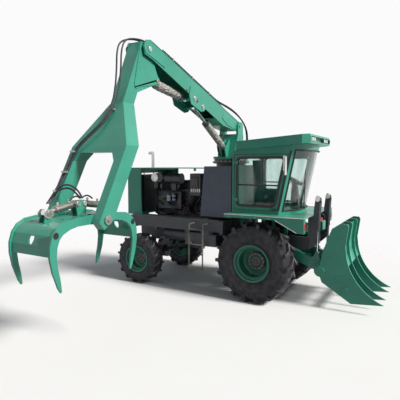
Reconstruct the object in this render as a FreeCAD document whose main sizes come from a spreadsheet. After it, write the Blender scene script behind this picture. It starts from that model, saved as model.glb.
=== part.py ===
import FreeCAD, Part
import math
import os

import Sketcher

doc = FreeCAD.newDocument("sugarcane_loader")

# Machine frame: X forward towards the rake, Y to the driver's left, Z up,
# zero on the ground under the middle of the front axle. Lengths in mm.
SIZES = {
    # where the model's own origin lies in the machine frame
    "origin_x": -538.0,
    "origin_y": -2195.65,
    # fits
    "seat_gap": 0.3,
    "pin_gap": 0.4,
    "run_gap": 5.0,
    # front tyre, rim and hub
    "front_tyre_radius": 800.0,
    "front_tyre_width": 590.0,
    "front_rim_radius": 352.0,
    "front_flange_radius": 378.0,
    "front_rim_width": 500.0,
    "front_hub_radius": 180.0,
    "front_hub_depth": 150.0,
    "front_spindle_radius": 62.0,
    "front_wheel_y": 925.0,
    "front_lug_height": 42.0,
    "front_lug_width": 46.0,
    # rear tyre, rim and hub
    "rear_tyre_radius": 570.0,
    "rear_tyre_width": 412.0,
    "rear_rim_radius": 290.0,
    "rear_flange_radius": 316.0,
    "rear_rim_width": 350.0,
    "rear_hub_radius": 125.0,
    "rear_hub_depth": 110.0,
    "rear_spindle_radius": 46.0,
    "rear_wheel_y": 993.0,
    "rear_lug_height": 32.0,
    "rear_lug_width": 36.0,
    "wheelbase": 2860.0,
    "rim_sheet": 14.0,
    # axles and knuckles
    "axle_tube_radius": 92.0,
    "axle_bowl_radius": 205.0,
    "rear_beam_half": 70.0,
    "kingpin_y": 715.0,
    "kingpin_radius": 28.0,
    "kingpin_boss_radius": 58.0,
    "knuckle_plate": 38.0,
    # chassis
    "rail_y": 330.0,
    "rail_width": 90.0,
    "rail_low": 1000.0,
    "rail_high": 1290.0,
    "chassis_overhang": 440.0,
    "chassis_front": 960.0,
    "sill_y": 1000.0,
    "sill_low": 1330.0,
    "sill_high": 1560.0,
    "sill_sheet": 12.0,
    "sill_overhang": 310.0,
    "sill_front": -705.0,
    "cross_tube": 100.0,
    # deck and front wings
    "deck_top": 1765.0,
    "deck_sheet": 14.0,
    "deck_rear": -588.0,
    "deck_front": 1030.0,
    "deck_half": 1200.0,
    "wing_low": 1480.0,
    "wing_strip": 130.0,
    # tank housing and crane pedestal
    "tank_rear_low": -1330.0,
    "tank_rear_high": -1235.0,
    "tank_front": -590.0,
    "tank_half": 850.0,
    "tank_low": 1640.0,
    "tank_high": 2725.0,
    "crane_x": -1000.0,
    "slew_neck_radius": 330.0,
    "slew_flange_radius": 405.0,
    "slew_flange": 32.0,
    # engine bay
    "bay_overhang": 476.0,
    "bay_high": 2690.0,
    "bay_low": 1572.0,
    "bay_half": 850.0,
    "bay_sheet": 16.0,
    "radiator_overhang": 130.0,
    "engine_length": 960.0,
    "engine_half": 290.0,
    "engine_low": 1190.3,
    "engine_high": 2180.0,
    "air_cleaner_radius": 112.0,
    # cab
    "cab_rear": -570.0,
    "cab_half": 850.0,
    "cab_low": 1765.0,
    "pillar_low_x": 430.0,
    "pillar_high_x": 700.0,
    "pillar_high": 3130.0,
    "screen_bulge": 250.0,
    "cab_wall": 42.0,
    "door_gap": 6.0,
    "hinge_radius": 15.0,
    "glass": 8.0,
    "roof_rear": -475.0,
    "roof_front": 1010.0,
    "roof_half": 905.0,
    "roof_rear_low": 3060.0,
    "roof_front_low": 3168.0,
    "roof_depth": 178.0,
    # crane column
    "column_low": 2889.0,
    "boom_pin_radial": 20.0,
    "boom_pin_height": 3620.0,
    "boom_pin_radius": 38.0,
    "column_ear": 26.0,
    # boom, measured outwards from the column axis
    "boom_width": 350.0,
    "boom_sheet": 14.0,
    "boom_knee_radial": 900.0,
    "boom_knee_high": 3985.0,
    "boom_knee_low": 3585.0,
    "boom_belly_radial": 1120.0,
    "boom_tip_radial": 3400.0,
    "boom_tip_height": 4548.0,
    "boom_tip_radius": 150.0,
    "stick_pin_radius": 38.0,
    # stick and fork
    "stick_width": 236.0,
    "stick_sheet": 12.0,
    "stick_knee_radial": 3740.0,
    "stick_knee_height": 3640.0,
    "fork_radial": 4130.0,
    "fork_height": 3000.0,
    "leg_depth": 262.0,
    "leg_thick": 130.0,
    "leg_offset": 440.0,
    "grapple_radial": 4790.0,
    "grapple_height": 2056.0,
    "grapple_pin_radius": 32.0,
    "leg_boss_radius": 92.0,
    # grapple
    "tine_thick": 28.0,
    "tine_offset": 340.0,
    "jaw_sheet": 16.0,
    "cross_tube_radius": 62.0,
    "tower_height": 190.0,
    "tower_pin_half": 60.0,
    "jaw_lug_out": 560.0,
    "jaw_lug_up": 70.0,
    # hydraulic cylinders
    "boom_foot_radial": 395.0,
    "boom_foot_height": 3135.0,
    "boom_eye_radial": 1700.0,
    "boom_eye_height": 3860.0,
    "boom_barrel_radius": 62.0,
    "boom_rod_radius": 30.0,
    "boom_barrel_length": 960.0,
    "stick_lug_radial": 3105.0,
    "stick_lug_height": 4105.0,
    "stick_eye_radial": 2010.0,
    "stick_eye_height": 3975.0,
    "stick_barrel_radius": 68.0,
    "stick_rod_radius": 34.0,
    "stick_barrel_length": 860.0,
    "jaw_barrel_radius": 46.0,
    "jaw_rod_radius": 24.0,
    "jaw_barrel_length": 345.0,
    "cylinder_pin_radius": 22.0,
    "eye_wall": 24.0,
    "eye_half": 32.0,
    # front tower, arms and rake
    "tower_x": 1105.0,
    "tower_rear_x": 985.0,
    "tower_top": 2080.0,
    "lift_y": 440.0,
    "arm_pin_x": 380.0,
    "arm_pin_z": 1062.0,
    "arm_pin_radius": 34.0,
    "arm_thick": 110.0,
    "arm_depth": 210.0,
    "rake_tube_x": 1225.0,
    "rake_tube_z": 712.0,
    "rake_tube_radius": 98.0,
    "rake_half": 680.0,
    "rake_stay_radius": 55.0,
    "rake_plate": 30.0,
    "rake_inner_y": 290.0,
    "lift_eye_x": 1112.0,
    "lift_eye_z": 985.0,
    "lift_barrel_radius": 44.0,
    "lift_rod_radius": 24.0,
    "lift_barrel_length": 620.0,
    # hitch
    "hitch_pin_radius": 20.0,
    "hitch_x": -3400.0,
    "hitch_z": 1060.0,
}

sheet = doc.addObject("Spreadsheet::Sheet", "Sizes")
for row, (alias, number) in enumerate(SIZES.items(), start=1):
    sheet.set("A%d" % row, str(number))
    sheet.setAlias("A%d" % row, alias)
doc.recompute()


class Size:
    """A size as a number, with the sheet expression that gives it."""

    def __init__(self, value, text):
        self.value = float(value)
        self.text = text

    def __add__(self, other):
        other = size(other)
        return Size(self.value + other.value, "(%s + %s)" % (self.text, other.text))

    def __sub__(self, other):
        other = size(other)
        return Size(self.value - other.value, "(%s - %s)" % (self.text, other.text))

    def __mul__(self, other):
        other = size(other)
        return Size(self.value * other.value, "(%s * %s)" % (self.text, other.text))

    def __truediv__(self, other):
        other = size(other)
        return Size(self.value / other.value, "(%s / %s)" % (self.text, other.text))

    def __neg__(self):
        return size(0) - self

    def __radd__(self, other):
        return size(other) + self

    def __rsub__(self, other):
        return size(other) - self

    def __rmul__(self, other):
        return size(other) * self

    def __rtruediv__(self, other):
        return size(other) / self


def size(number):
    if isinstance(number, Size):
        return number
    text = "%.6f" % number
    return Size(number, text if number >= 0 else "(%s)" % text)


def hypot(a, b):
    a, b = size(a), size(b)
    return Size(math.hypot(a.value, b.value), "hypot(%s; %s)" % (a.text, b.text))


def bearing(up, along):
    """Angle in degrees of a direction from its two parts."""
    up, along = size(up), size(along)
    return Size(math.degrees(math.atan2(up.value, along.value)),
                "atan2(%s; %s)" % (up.text, along.text))


def turn(point, centre, degrees):
    """A point of a profile turned about a centre by fixed degrees."""
    c, s = math.cos(math.radians(degrees)), math.sin(math.radians(degrees))
    u, v = point[0] - centre[0], point[1] - centre[1]
    return (centre[0] + u * c - v * s, centre[1] + u * s + v * c)


class Named:
    """The sheet's sizes by their names."""

    def __getattr__(self, name):
        return Size(SIZES[name], "Sizes." + name)


D = Named()

# The rear body goes with the rear axle
rear_x = -D.wheelbase
chassis_rear = rear_x - D.chassis_overhang
sill_rear = rear_x - D.sill_overhang
bay_rear = rear_x - D.bay_overhang
radiator_front = rear_x - D.radiator_overhang
engine_front = rear_x + D.engine_length


def bind(obj, prop, amount):
    obj.setExpression(prop, size(amount).text)


def place(obj, x=0, y=0, z=0, axis=None, angle=None):
    """Set a placement and bind it to the sheet."""
    x, y, z = size(x), size(y), size(z)
    rotation = FreeCAD.Rotation()
    if axis is not None:
        start = size(angle).value
        rotation = FreeCAD.Rotation(FreeCAD.Vector(*axis), start if abs(start) > 0.001 else 0.001)
    obj.Placement = FreeCAD.Placement(FreeCAD.Vector(x.value, y.value, z.value), rotation)
    bind(obj, ".Placement.Base.x", x)
    bind(obj, ".Placement.Base.y", y)
    bind(obj, ".Placement.Base.z", z)
    if isinstance(angle, Size):
        bind(obj, ".Placement.Rotation.Angle", angle)
    return obj


def box(x0, x1, y0, y1, z0, z1):
    obj = doc.addObject("Part::Box", "block")
    bind(obj, "Length", size(x1) - x0)
    bind(obj, "Width", size(y1) - y0)
    bind(obj, "Height", size(z1) - z0)
    return place(obj, x0, y0, z0)


def rod(axis, u, v, radius, start, end):
    """A cylinder along x, y or z; u and v are its other two coordinates in that order."""
    obj = doc.addObject("Part::Cylinder", "round")
    bind(obj, "Radius", radius)
    bind(obj, "Height", size(end) - start)
    if axis == "x":
        return place(obj, start, u, v, (0, 1, 0), 90)
    if axis == "y":
        return place(obj, u, start, v, (1, 0, 0), -90)
    return place(obj, u, v, start)


def strut(plane, side, foot, head, radius, start, end):
    """A cylinder on the line foot to head in a plane across y (yz) or x (xz),
    from start to end along that line."""
    du, dz = size(head[0]) - foot[0], size(head[1]) - foot[1]
    run = hypot(du, dz)
    obj = doc.addObject("Part::Cylinder", "strut")
    bind(obj, "Radius", radius)
    bind(obj, "Height", size(end) - start)
    u, z = foot[0] + du * start / run, foot[1] + dz * start / run
    if plane == "yz":
        return place(obj, side, u, z, (1, 0, 0), bearing(-du, dz))
    return place(obj, u, side, z, (0, 1, 0), bearing(du, dz))


PLANES = {
    "xy": FreeCAD.Rotation(),
    "xz": FreeCAD.Rotation(FreeCAD.Vector(1, 0, 0), 90),
    "yz": FreeCAD.Rotation(FreeCAD.Vector(1, 1, 1), 120),
}
NORMALS = {"xy": (0, 0, 1), "xz": (0, 1, 0), "yz": (1, 0, 0)}


def outline(sketch, points):
    """Draw a closed outline. A point is (u, v) or (u, v, radius) where the side
    to the next point is an arc, its centre on the left for a positive radius."""
    ends = []
    spots = [FreeCAD.Vector(size(p[0]).value, size(p[1]).value, 0) for p in points]
    count = len(points)
    for i, point in enumerate(points):
        a, b = spots[i], spots[(i + 1) % count]
        if len(point) > 2:
            radius = size(point[2]).value
            middle, step = (a + b) * 0.5, b - a
            left = FreeCAD.Vector(-step.y, step.x, 0).normalize()
            rise = math.sqrt(radius ** 2 - (step.Length / 2) ** 2)
            centre = middle + left * math.copysign(rise, radius)
            top = centre - left * radius
            sketch.addGeometry(Part.Arc(a, top, b), False)
        else:
            sketch.addGeometry(Part.LineSegment(a, b), False)
        first = 1 if (sketch.getPoint(i, 1) - a).Length < (sketch.getPoint(i, 2) - a).Length else 2
        ends.append((first, 3 - first))
    for i in range(count):
        j = (i + 1) % count
        sketch.addConstraint(Sketcher.Constraint("Coincident", i, ends[i][1], j, ends[j][0]))
    for i, point in enumerate(points):
        for kind, value in (("DistanceX", point[0]), ("DistanceY", point[1])):
            value = size(value)
            k = sketch.addConstraint(
                Sketcher.Constraint(kind, -1, 1, i, ends[i][0], value.value))
            if "Sizes." in value.text:
                bind(sketch, "Constraints[%d]" % k, value)
        if len(point) > 2:
            radius = size(point[2])
            k = sketch.addConstraint(Sketcher.Constraint("Radius", i, abs(radius.value)))
            if "Sizes." in radius.text:
                bind(sketch, "Constraints[%d]" % k, radius if radius.value > 0 else -radius)
    return sketch


def profile(plane, points, offset=0):
    sketch = doc.addObject("Sketcher::SketchObject", "profile")
    sketch.Placement = FreeCAD.Placement(FreeCAD.Vector(), PLANES[plane])
    offset = size(offset)
    for axis, part in zip("xyz", NORMALS[plane]):
        if part:
            sketch.Placement.Base = FreeCAD.Vector(*[n * offset.value for n in NORMALS[plane]])
            bind(sketch, ".Placement.Base." + axis, offset)
    return outline(sketch, points)


def plate(plane, points, start, end):
    """An outline across y (yz), x (xz) or flat (xy), given thickness from start to end."""
    obj = doc.addObject("Part::Extrusion", "plate")
    obj.Base = profile(plane, points, start)
    obj.DirMode = "Custom"
    obj.Dir = FreeCAD.Vector(*NORMALS[plane])
    obj.Solid = True
    bind(obj, "LengthFwd", size(end) - start)
    return obj


def revolve(points):
    """An outline of (along y, radius) points turned about the y axis."""
    obj = doc.addObject("Part::Revolution", "turned")
    obj.Source = profile("yz", points)
    obj.Axis = FreeCAD.Vector(0, 1, 0)
    obj.Base = FreeCAD.Vector(0, 0, 0)
    obj.Angle = 360.0
    obj.Solid = True
    return obj


def join(*pieces):
    obj = doc.addObject("Part::MultiFuse", "joined")
    obj.Shapes = list(pieces)
    return obj


def cut(base, *tools):
    obj = doc.addObject("Part::Cut", "cut")
    obj.Base = base
    obj.Tool = tools[0] if len(tools) == 1 else join(*tools)
    return obj


def common(*pieces):
    obj = doc.addObject("Part::MultiCommon", "shared")
    obj.Shapes = list(pieces)
    return obj


def flipped(source):
    """The same piece on the machine's other side."""
    obj = doc.addObject("Part::Mirroring", "flipped")
    obj.Source = source
    obj.Base = FreeCAD.Vector(0, 0, 0)
    obj.Normal = FreeCAD.Vector(0, 1, 0)
    return obj


def group(*pieces):
    obj = doc.addObject("Part::Compound", "group")
    obj.Links = list(pieces)
    return obj


def ring(axis, u, v, outer, inner, start, end):
    return cut(rod(axis, u, v, outer, start, end),
               rod(axis, u, v, inner, size(start) - 1, size(end) + 1))


NODES = []


def node(label, *pieces, x=0, y=0, z=0):
    """A sub-part of the machine, placed from the model's own origin."""
    obj = doc.addObject("Part::Compound", label)
    obj.Label = label
    obj.Links = list(pieces)
    place(obj, size(x) - D.origin_x, size(y) - D.origin_y, z)
    NODES.append(obj)
    return obj


# Wheels. Every outline is (along the axle, radius) from the wheel's centre,
# with the outer side at negative y, as on the right wheels.

def tyre(name, radius, width, seat, lug_height, lug_width, lugs):
    carcass = radius - lug_height
    depth = carcass - seat
    body = doc.addObject("PartDesign::Body", name)
    planes = {f.Role: f for f in body.Origin.OriginFeatures}

    def sketch(plane, points, lift=None):
        made = body.newObject("Sketcher::SketchObject", "tyre_outline")
        made.AttachmentSupport = [(planes[plane], "")]
        made.MapMode = "FlatFace"
        if lift is not None:
            made.AttachmentOffset = FreeCAD.Placement(
                FreeCAD.Vector(0, 0, lift.value), FreeCAD.Rotation())
            bind(made, "AttachmentOffset.Base.z", lift)
        return outline(made, points)

    outside = [(-0.385, 0.0), (-0.385, 0.11), (-0.47, 0.27), (-0.50, 0.50), (-0.47, 0.78), (-0.38, 0.95)]
    inside = [(-0.36, 0.88), (-0.43, 0.72), (-0.455, 0.50), (-0.42, 0.24), (-0.33, 0.0)]
    section = [(width * a, seat + depth * b) for a, b in outside]
    section += [(width * -a, seat + depth * b) for a, b in reversed(outside)]
    section += [(width * -a, seat + depth * b) for a, b in reversed(inside)]
    section += [(width * a, seat + depth * b) for a, b in inside]
    carcass_turn = body.newObject("PartDesign::Revolution", "carcass")
    carcass_turn.Profile = sketch("YZ_Plane", section)
    carcass_turn.ReferenceAxis = (carcass_turn.Profile[0], ["H_Axis"])
    carcass_turn.Angle = 360.0
    doc.recompute()

    for side, shift in ((-1, 0.0), (1, 180.0 / lugs)):
        lug = body.newObject("PartDesign::Pad", "lug")
        half = lug_width / 2
        path = [(-0.05, -0.02), (0.17, 0.24), (0.24, 0.5)]
        rim = [(width * u - half * 1.3, width * v * side) for u, v in path]
        rim += [(width * u + half * 1.3, width * v * side) for u, v in reversed(path)]
        lug.Profile = sketch("XY_Plane", rim, seat + depth * 0.66)
        bind(lug, "Length", depth * 0.34 + lug_height * 2)
        doc.recompute()
        whirl = body.newObject("PartDesign::PolarPattern", "lugs")
        whirl.Originals = [lug]
        whirl.Axis = (planes["Y_Axis"], [""])
        whirl.Angle = 360.0
        whirl.Occurrences = lugs
        body.Tip = whirl
        doc.recompute()

    trim = body.newObject("PartDesign::Groove", "tread")
    over = lug_height * 4
    trim.Profile = sketch("YZ_Plane", [
        (width * -0.52, radius + over), (width * -0.52, radius - depth * 0.16),
        (width * -0.40, radius), (width * 0.40, radius),
        (width * 0.52, radius - depth * 0.16), (width * 0.52, radius + over)])
    trim.ReferenceAxis = (trim.Profile[0], ["H_Axis"])
    trim.Angle = 360.0
    body.Tip = trim
    doc.recompute()
    return body


def rim(width, seat, flange, disc_at, bore):
    sheet_t = D.rim_sheet
    half = width / 2
    well = seat - 42
    barrel = [
        (-half, flange), (-half + sheet_t, flange), (-half + sheet_t, seat),
        (-half + 60, seat), (-half + 96, well), (half - 96, well), (half - 60, seat),
        (half - sheet_t, seat), (half - sheet_t, flange), (half, flange),
        (half, seat - sheet_t), (half - 54, seat - sheet_t), (half - 90, well - sheet_t),
        (disc_at + sheet_t + 30, well - sheet_t), (disc_at + sheet_t, well - sheet_t - 46),
        (disc_at + sheet_t, bore), (disc_at, bore), (disc_at, well - sheet_t - 46),
        (disc_at - 30, well - sheet_t), (-half + 90, well - sheet_t),
        (-half + 54, seat - sheet_t), (-half, seat - sheet_t)]
    return revolve(barrel)


def hub(radius, depth, spindle, disc_at):
    """Planetary hub through the disc, with a blind bore for the spindle."""
    gap = D.pin_gap
    face = disc_at - depth * 0.55
    return revolve([
        (face, 0), (face, radius * 0.62), (face + 14, radius * 0.72),
        (face + 20, radius), (disc_at, radius), (disc_at, radius * 1.16),
        (disc_at + D.rim_sheet, radius * 1.16), (disc_at + D.rim_sheet, radius),
        (disc_at + depth, radius * 0.9), (disc_at + depth, spindle + gap),
        (face + 40, spindle + gap), (face + 40, 0)])


WHEELS = [
    # name, x, y, radius, width, seat, flange, rim width, hub radius, hub depth, spindle,
    # lug height, lug width, lugs, disc from the wheel's middle
    ("front", size(0), D.front_wheel_y, D.front_tyre_radius, D.front_tyre_width,
     D.front_rim_radius, D.front_flange_radius, D.front_rim_width, D.front_hub_radius,
     D.front_hub_depth, D.front_spindle_radius, D.front_lug_height, D.front_lug_width, 18, 95),
    ("rear", -D.wheelbase, D.rear_wheel_y, D.rear_tyre_radius, D.rear_tyre_width,
     D.rear_rim_radius, D.rear_flange_radius, D.rear_rim_width, D.rear_hub_radius,
     D.rear_hub_depth, D.rear_spindle_radius, D.rear_lug_height, D.rear_lug_width, 16, 60),
]

for (name, wx, wy, radius, width, seat, flange, rim_width, hub_radius, hub_depth,
     spindle, lug_h, lug_w, lugs, disc) in WHEELS:
    right = {
        "tyre": tyre(name + "_tyre_body", radius, width, seat + D.seat_gap, lug_h, lug_w, lugs),
        "rim": join(rim(rim_width, seat, flange, disc, hub_radius - 2),
                    hub(hub_radius, hub_depth, spindle, disc)),
    }
    for kind, piece in right.items():
        node("%s_%s_right" % (kind, name), piece, x=wx, y=-wy, z=radius)
        node("%s_%s_left" % (kind, name), flipped(piece), x=wx, y=wy, z=radius)

# Axles
fz, rz = D.front_tyre_radius, D.rear_tyre_radius
front_hub_in = D.front_wheel_y - 95 - D.front_hub_depth
front_spindle_out = D.front_wheel_y - 95 + D.front_hub_depth * 0.55 - 60
node("front_axle", join(
    rod("y", 0, fz, D.axle_tube_radius, -front_hub_in + D.run_gap, front_hub_in - D.run_gap),
    rod("y", 0, fz, D.front_spindle_radius, -front_spindle_out, front_spindle_out),
    rod("x", 0, fz, D.axle_bowl_radius, -150, 120),
    rod("x", 0, fz, D.axle_bowl_radius * 0.45, -330, -140),
    *[box(-110, 110, side * D.rail_y - D.rail_width / 2, side * D.rail_y + D.rail_width / 2,
          fz, D.rail_low) for side in (-1, 1)]))

rx = -D.wheelbase
boss_low, boss_high = rz - 88, rz + 88
beam = join(
    box(rx - D.rear_beam_half, rx + D.rear_beam_half, -D.kingpin_y, D.kingpin_y,
        rz - D.rear_beam_half * 0.7, rz + D.rear_beam_half * 0.7),
    rod("x", 0, rz, D.rear_beam_half * 2.1, rx - 120, rx + 120),
    plate("yz", [(-260, rz + 40), (260, rz + 40), (190, rz + 250), (110, D.rail_low - 60),
                 (-110, D.rail_low - 60), (-190, rz + 250)], rx - 60, rx + 60),
    box(rx - 130, rx + 130, -D.rail_y - D.rail_width / 2, D.rail_y + D.rail_width / 2,
        D.rail_low - 70, D.rail_low),
    *[rod("z", rx, side * D.kingpin_y, D.kingpin_boss_radius, boss_low, boss_high)
      for side in (-1, 1)])
node("rear_axle", cut(beam, *[
    rod("z", rx, side * D.kingpin_y, D.kingpin_radius + D.pin_gap, boss_low - 50, boss_high + 50)
    for side in (-1, 1)]))

plate_low, plate_high = boss_low - 2, boss_high + 2
arm_out = -D.kingpin_y - D.kingpin_boss_radius - D.run_gap - 4
rear_spindle_out = D.rear_wheel_y - 60 + D.rear_hub_depth * 0.55 - 60
knuckle = join(
    rod("z", rx, -D.kingpin_y, D.kingpin_radius, plate_low - D.knuckle_plate,
        plate_high + D.knuckle_plate),
    *[join(rod("z", rx, -D.kingpin_y, D.kingpin_boss_radius, low, low + D.knuckle_plate),
           box(rx - 52, rx + 52, arm_out - 34, -D.kingpin_y, low, low + D.knuckle_plate))
      for low in (plate_low - D.knuckle_plate, plate_high)],
    box(rx - 52, rx + 52, arm_out - 34, arm_out, plate_low - D.knuckle_plate,
        plate_high + D.knuckle_plate),
    rod("y", rx, rz, D.rear_spindle_radius, -rear_spindle_out, arm_out))
node("knuckle_right", knuckle)
node("knuckle_left", flipped(knuckle))

# Chassis
rails = []
for side in (-1, 1):
    inner = side * D.rail_y - D.rail_width / 2
    rails.append(plate("xz", [
        (chassis_rear, D.rail_low + 60), (chassis_rear + 200, D.rail_low),
        (D.chassis_front - 260, D.rail_low), (D.chassis_front, D.rail_low + 60),
        (D.chassis_front, D.rail_high), (chassis_rear, D.rail_high)],
        inner, inner + D.rail_width))
crossings = [
    chassis_rear + 60, -D.wheelbase + 420, size(-1600), D.crane_x, size(-200),
    D.chassis_front - 60]
for x in crossings:
    rails.append(box(x - D.cross_tube / 2, x + D.cross_tube / 2, -D.rail_y, D.rail_y,
                     D.rail_low + 90, D.rail_low + 90 + D.cross_tube))
for side in (-1, 1):
    outer = side * D.sill_y
    near = outer - D.sill_sheet if side > 0 else outer
    rails.append(box(sill_rear, D.sill_front, near, near + D.sill_sheet, D.sill_low, D.sill_high))
    deck_in = 620 if side > 0 else -D.sill_y
    deck_out = D.sill_y if side > 0 else -620
    rails.append(box(sill_rear, D.sill_front, deck_in, deck_out,
                     D.sill_high, D.sill_high + D.sill_sheet))
    for x in (sill_rear + 40, -D.wheelbase + 420, size(-1600), D.crane_x, D.sill_front - 55):
        inner = side * D.rail_y if side > 0 else -D.sill_y + D.sill_sheet
        outer_y = D.sill_y - D.sill_sheet if side > 0 else -D.rail_y
        rails.append(box(x - 40, x + 40, inner, outer_y, D.rail_high - 10, D.sill_high))
rails.append(box(D.crane_x - 330, D.crane_x + 330, -D.rail_y - D.rail_width / 2,
                 D.rail_y + D.rail_width / 2, D.rail_high - 10, D.tank_low))
for side in (-1, 1):
    near = D.rail_y - 20 if side > 0 else -D.lift_y - D.arm_thick / 2 - 26
    rails.append(rod("y", D.arm_pin_x, D.arm_pin_z, D.arm_pin_radius, near,
                     near + D.lift_y + D.arm_thick / 2 + 26 - D.rail_y + 20))
node("chassis_frame", join(*rails))

hitch = cut(join(
    box(chassis_rear - 24, chassis_rear, -D.rail_y, D.rail_y, D.hitch_z - 60, D.rail_high),
    *[box(D.hitch_x - 40, chassis_rear, -70, 70, D.hitch_z + s * 45 - 11, D.hitch_z + s * 45 + 11)
      for s in (-1, 1)]),
    rod("z", D.hitch_x, 0, D.hitch_pin_radius, D.hitch_z - 80, D.hitch_z + 80))
node("tow_hitch", hitch)

# Deck with the two front wings
deck_low = D.deck_top - D.deck_sheet
deck = [box(D.deck_rear, D.deck_front, -D.deck_half, D.deck_half, deck_low, D.deck_top)]
for side in (-1, 1):
    y_in = side * D.deck_half if side < 0 else D.deck_half - 12
    deck.append(plate("xz", [
        (D.deck_rear, deck_low - 46), (480, deck_low - 46), (905, D.wing_low + 10),
        (D.deck_front, D.wing_low), (D.deck_front, deck_low + 5), (D.deck_rear, deck_low + 5)],
        y_in, y_in + 12))
    s_in = -D.deck_half if side < 0 else D.deck_half - D.wing_strip
    deck.append(box(D.deck_front - 12, D.deck_front, s_in, s_in + D.wing_strip,
                    D.wing_low, deck_low + 5))
    w_in = -D.deck_half + D.wing_strip - 12 if side < 0 else D.deck_half - D.wing_strip
    deck.append(plate("xz", [
        (480, deck_low - 46), (905, D.wing_low + 10), (D.deck_front, D.wing_low),
        (D.deck_front, deck_low + 5), (480, deck_low + 5)], w_in, w_in + 12))
    for x in (-580, -100, 400, 890):
        deck.append(box(x, x + 60, side * D.rail_y - 40, side * D.rail_y + 40,
                        D.rail_high, deck_low + 5))
node("deck", join(*deck))

# Step box and access ladder
step_top = D.rail_high - 10 - D.seat_gap
node("step_box", cut(
    box(-1560, -820, -D.sill_y - 100, -620, 1035, step_top),
    box(-1550, -830, -D.sill_y - 90, -630, 1045, step_top - 10)))
ladder = []
lr = 15
for x in (-1400, -1070):
    ladder.append(rod("z", x, -1215, lr, 560, 1500))
    ladder.append(rod("y", x, 1500, lr, -1215, -D.sill_y))
    ladder.append(rod("y", x, 1090, lr, -1215, -D.sill_y - 100))
for z in (560, 1075, 1390):
    ladder.append(rod("x", -1215, z, lr, -1400 - lr, -1070 + lr))
node("access_ladder", join(*ladder))

# Tank housing and crane pedestal
tank_in = 12
node("tank_housing", cut(
    plate("xz", [(D.tank_rear_low, D.tank_low), (D.tank_front, D.tank_low),
                 (D.tank_front, D.tank_high), (D.tank_rear_high, D.tank_high)],
          -D.tank_half, D.tank_half),
    plate("xz", [(D.tank_rear_low + tank_in, D.tank_low + tank_in),
                 (D.tank_front - tank_in, D.tank_low + tank_in),
                 (D.tank_front - tank_in, D.tank_high - tank_in),
                 (D.tank_rear_high + tank_in, D.tank_high - tank_in)],
          -D.tank_half + tank_in, D.tank_half - tank_in)))
node("slew_base", join(
    rod("z", D.crane_x, 0, D.slew_neck_radius, D.tank_high, D.column_low - D.seat_gap),
    rod("z", D.crane_x, 0, D.slew_flange_radius - 25, D.tank_high + 60,
        D.column_low - D.seat_gap)))

# Engine bay
bs = D.bay_sheet
bay = [
    box(bay_rear, D.tank_rear_high - 30, -D.bay_half, D.bay_half, D.bay_high - bs, D.bay_high),
    box(radiator_front, radiator_front + 40, -D.bay_half, -D.bay_half + 40,
        D.sill_high + D.sill_sheet, D.bay_high - bs),
    box(radiator_front, radiator_front + 40, D.bay_half - 40, D.bay_half,
        D.sill_high + D.sill_sheet, D.bay_high - bs),
    box(D.tank_rear_high - 265, D.tank_rear_high - 225, -D.bay_half, -D.bay_half + 40, D.bay_high - 70, D.bay_high - bs),
]
node("engine_cover", join(*bay))
node("radiator_housing", cut(
    box(bay_rear, radiator_front, -D.bay_half, D.bay_half, D.sill_high + D.sill_sheet,
        D.bay_high - bs),
    box(bay_rear + bs, radiator_front + 1, -D.bay_half + bs, D.bay_half - bs,
        D.sill_high + D.sill_sheet + 40, D.bay_high - bs - 40),
    box(bay_rear - 1, bay_rear + bs + 1, -620, 620, 1750, 2550)))
grille = [box(bay_rear + 2, bay_rear + bs - 2, -620, 620, z, z + 24)
          for z in range(1762, 2540, 52)]
grille += [box(bay_rear + 2, bay_rear + bs - 2, y - 10, y + 10, 1750, 2550)
           for y in (-610, -205, 205, 610)]
node("rear_grille", join(*grille))
node("radiator", box(radiator_front - 180, radiator_front - 40, -600, 600,
                     D.sill_high + D.sill_sheet + 40, 2500))
e = D.engine_half
node("engine", join(
    box(rear_x, engine_front, -e, e, D.engine_low + 220, D.engine_high),
    box(rear_x + 80, engine_front - 120, -e * 0.7, e * 0.7, D.engine_low, D.engine_low + 230),
    box(rear_x + 60, engine_front - 60, -e * 0.6, e * 0.6, D.engine_high - 10, D.engine_high + 170),
    box(rear_x + 160, engine_front - 150, -e - 190, -e + 10, 1720, 2120),
    rod("y", rear_x + 620, 2260, 120, -e - 160, 0),
    rod("x", 0, 1880, 210, rear_x - 40, rear_x + 10),
    rod("x", 0, 1880, 60, rear_x - 70, engine_front + 40)))
cleaner_z = D.engine_high + 170 + D.air_cleaner_radius + D.seat_gap
node("air_cleaner", rod("y", rear_x + 290, cleaner_z, D.air_cleaner_radius, -640, 60))
pipe_x = rear_x - 100
node("exhaust", join(rod("z", pipe_x, -330, 36, D.bay_high, 3050),
                     rod("x", -330, 3050, 36, pipe_x - 115, pipe_x + 10)))

# Cab: a tapering tub with a bowed windscreen, hollowed, with real openings
def cab_loft(inset, low, high):
    """The cab's outside moved in by inset, between two heights."""
    sections = []
    rise = D.pillar_high - D.cab_low
    for z in (low, high):
        z = size(z)
        lean = D.pillar_low_x + (D.pillar_high_x - D.pillar_low_x) * (z - D.cab_low) / rise
        half = D.cab_half - inset
        chord = half * 2
        bulge = D.screen_bulge
        radius = (chord * chord / 4 + bulge * bulge) / (bulge * 2)
        front = lean - inset * 0.8
        sections.append(profile("xy", [
            (D.cab_rear + inset, -half), (front, -half, radius), (front, half),
            (D.cab_rear + inset, half)], z))
    obj = doc.addObject("Part::Loft", "cab_form")
    obj.Sections = sections
    obj.Solid = True
    obj.Ruled = True
    return obj


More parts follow.
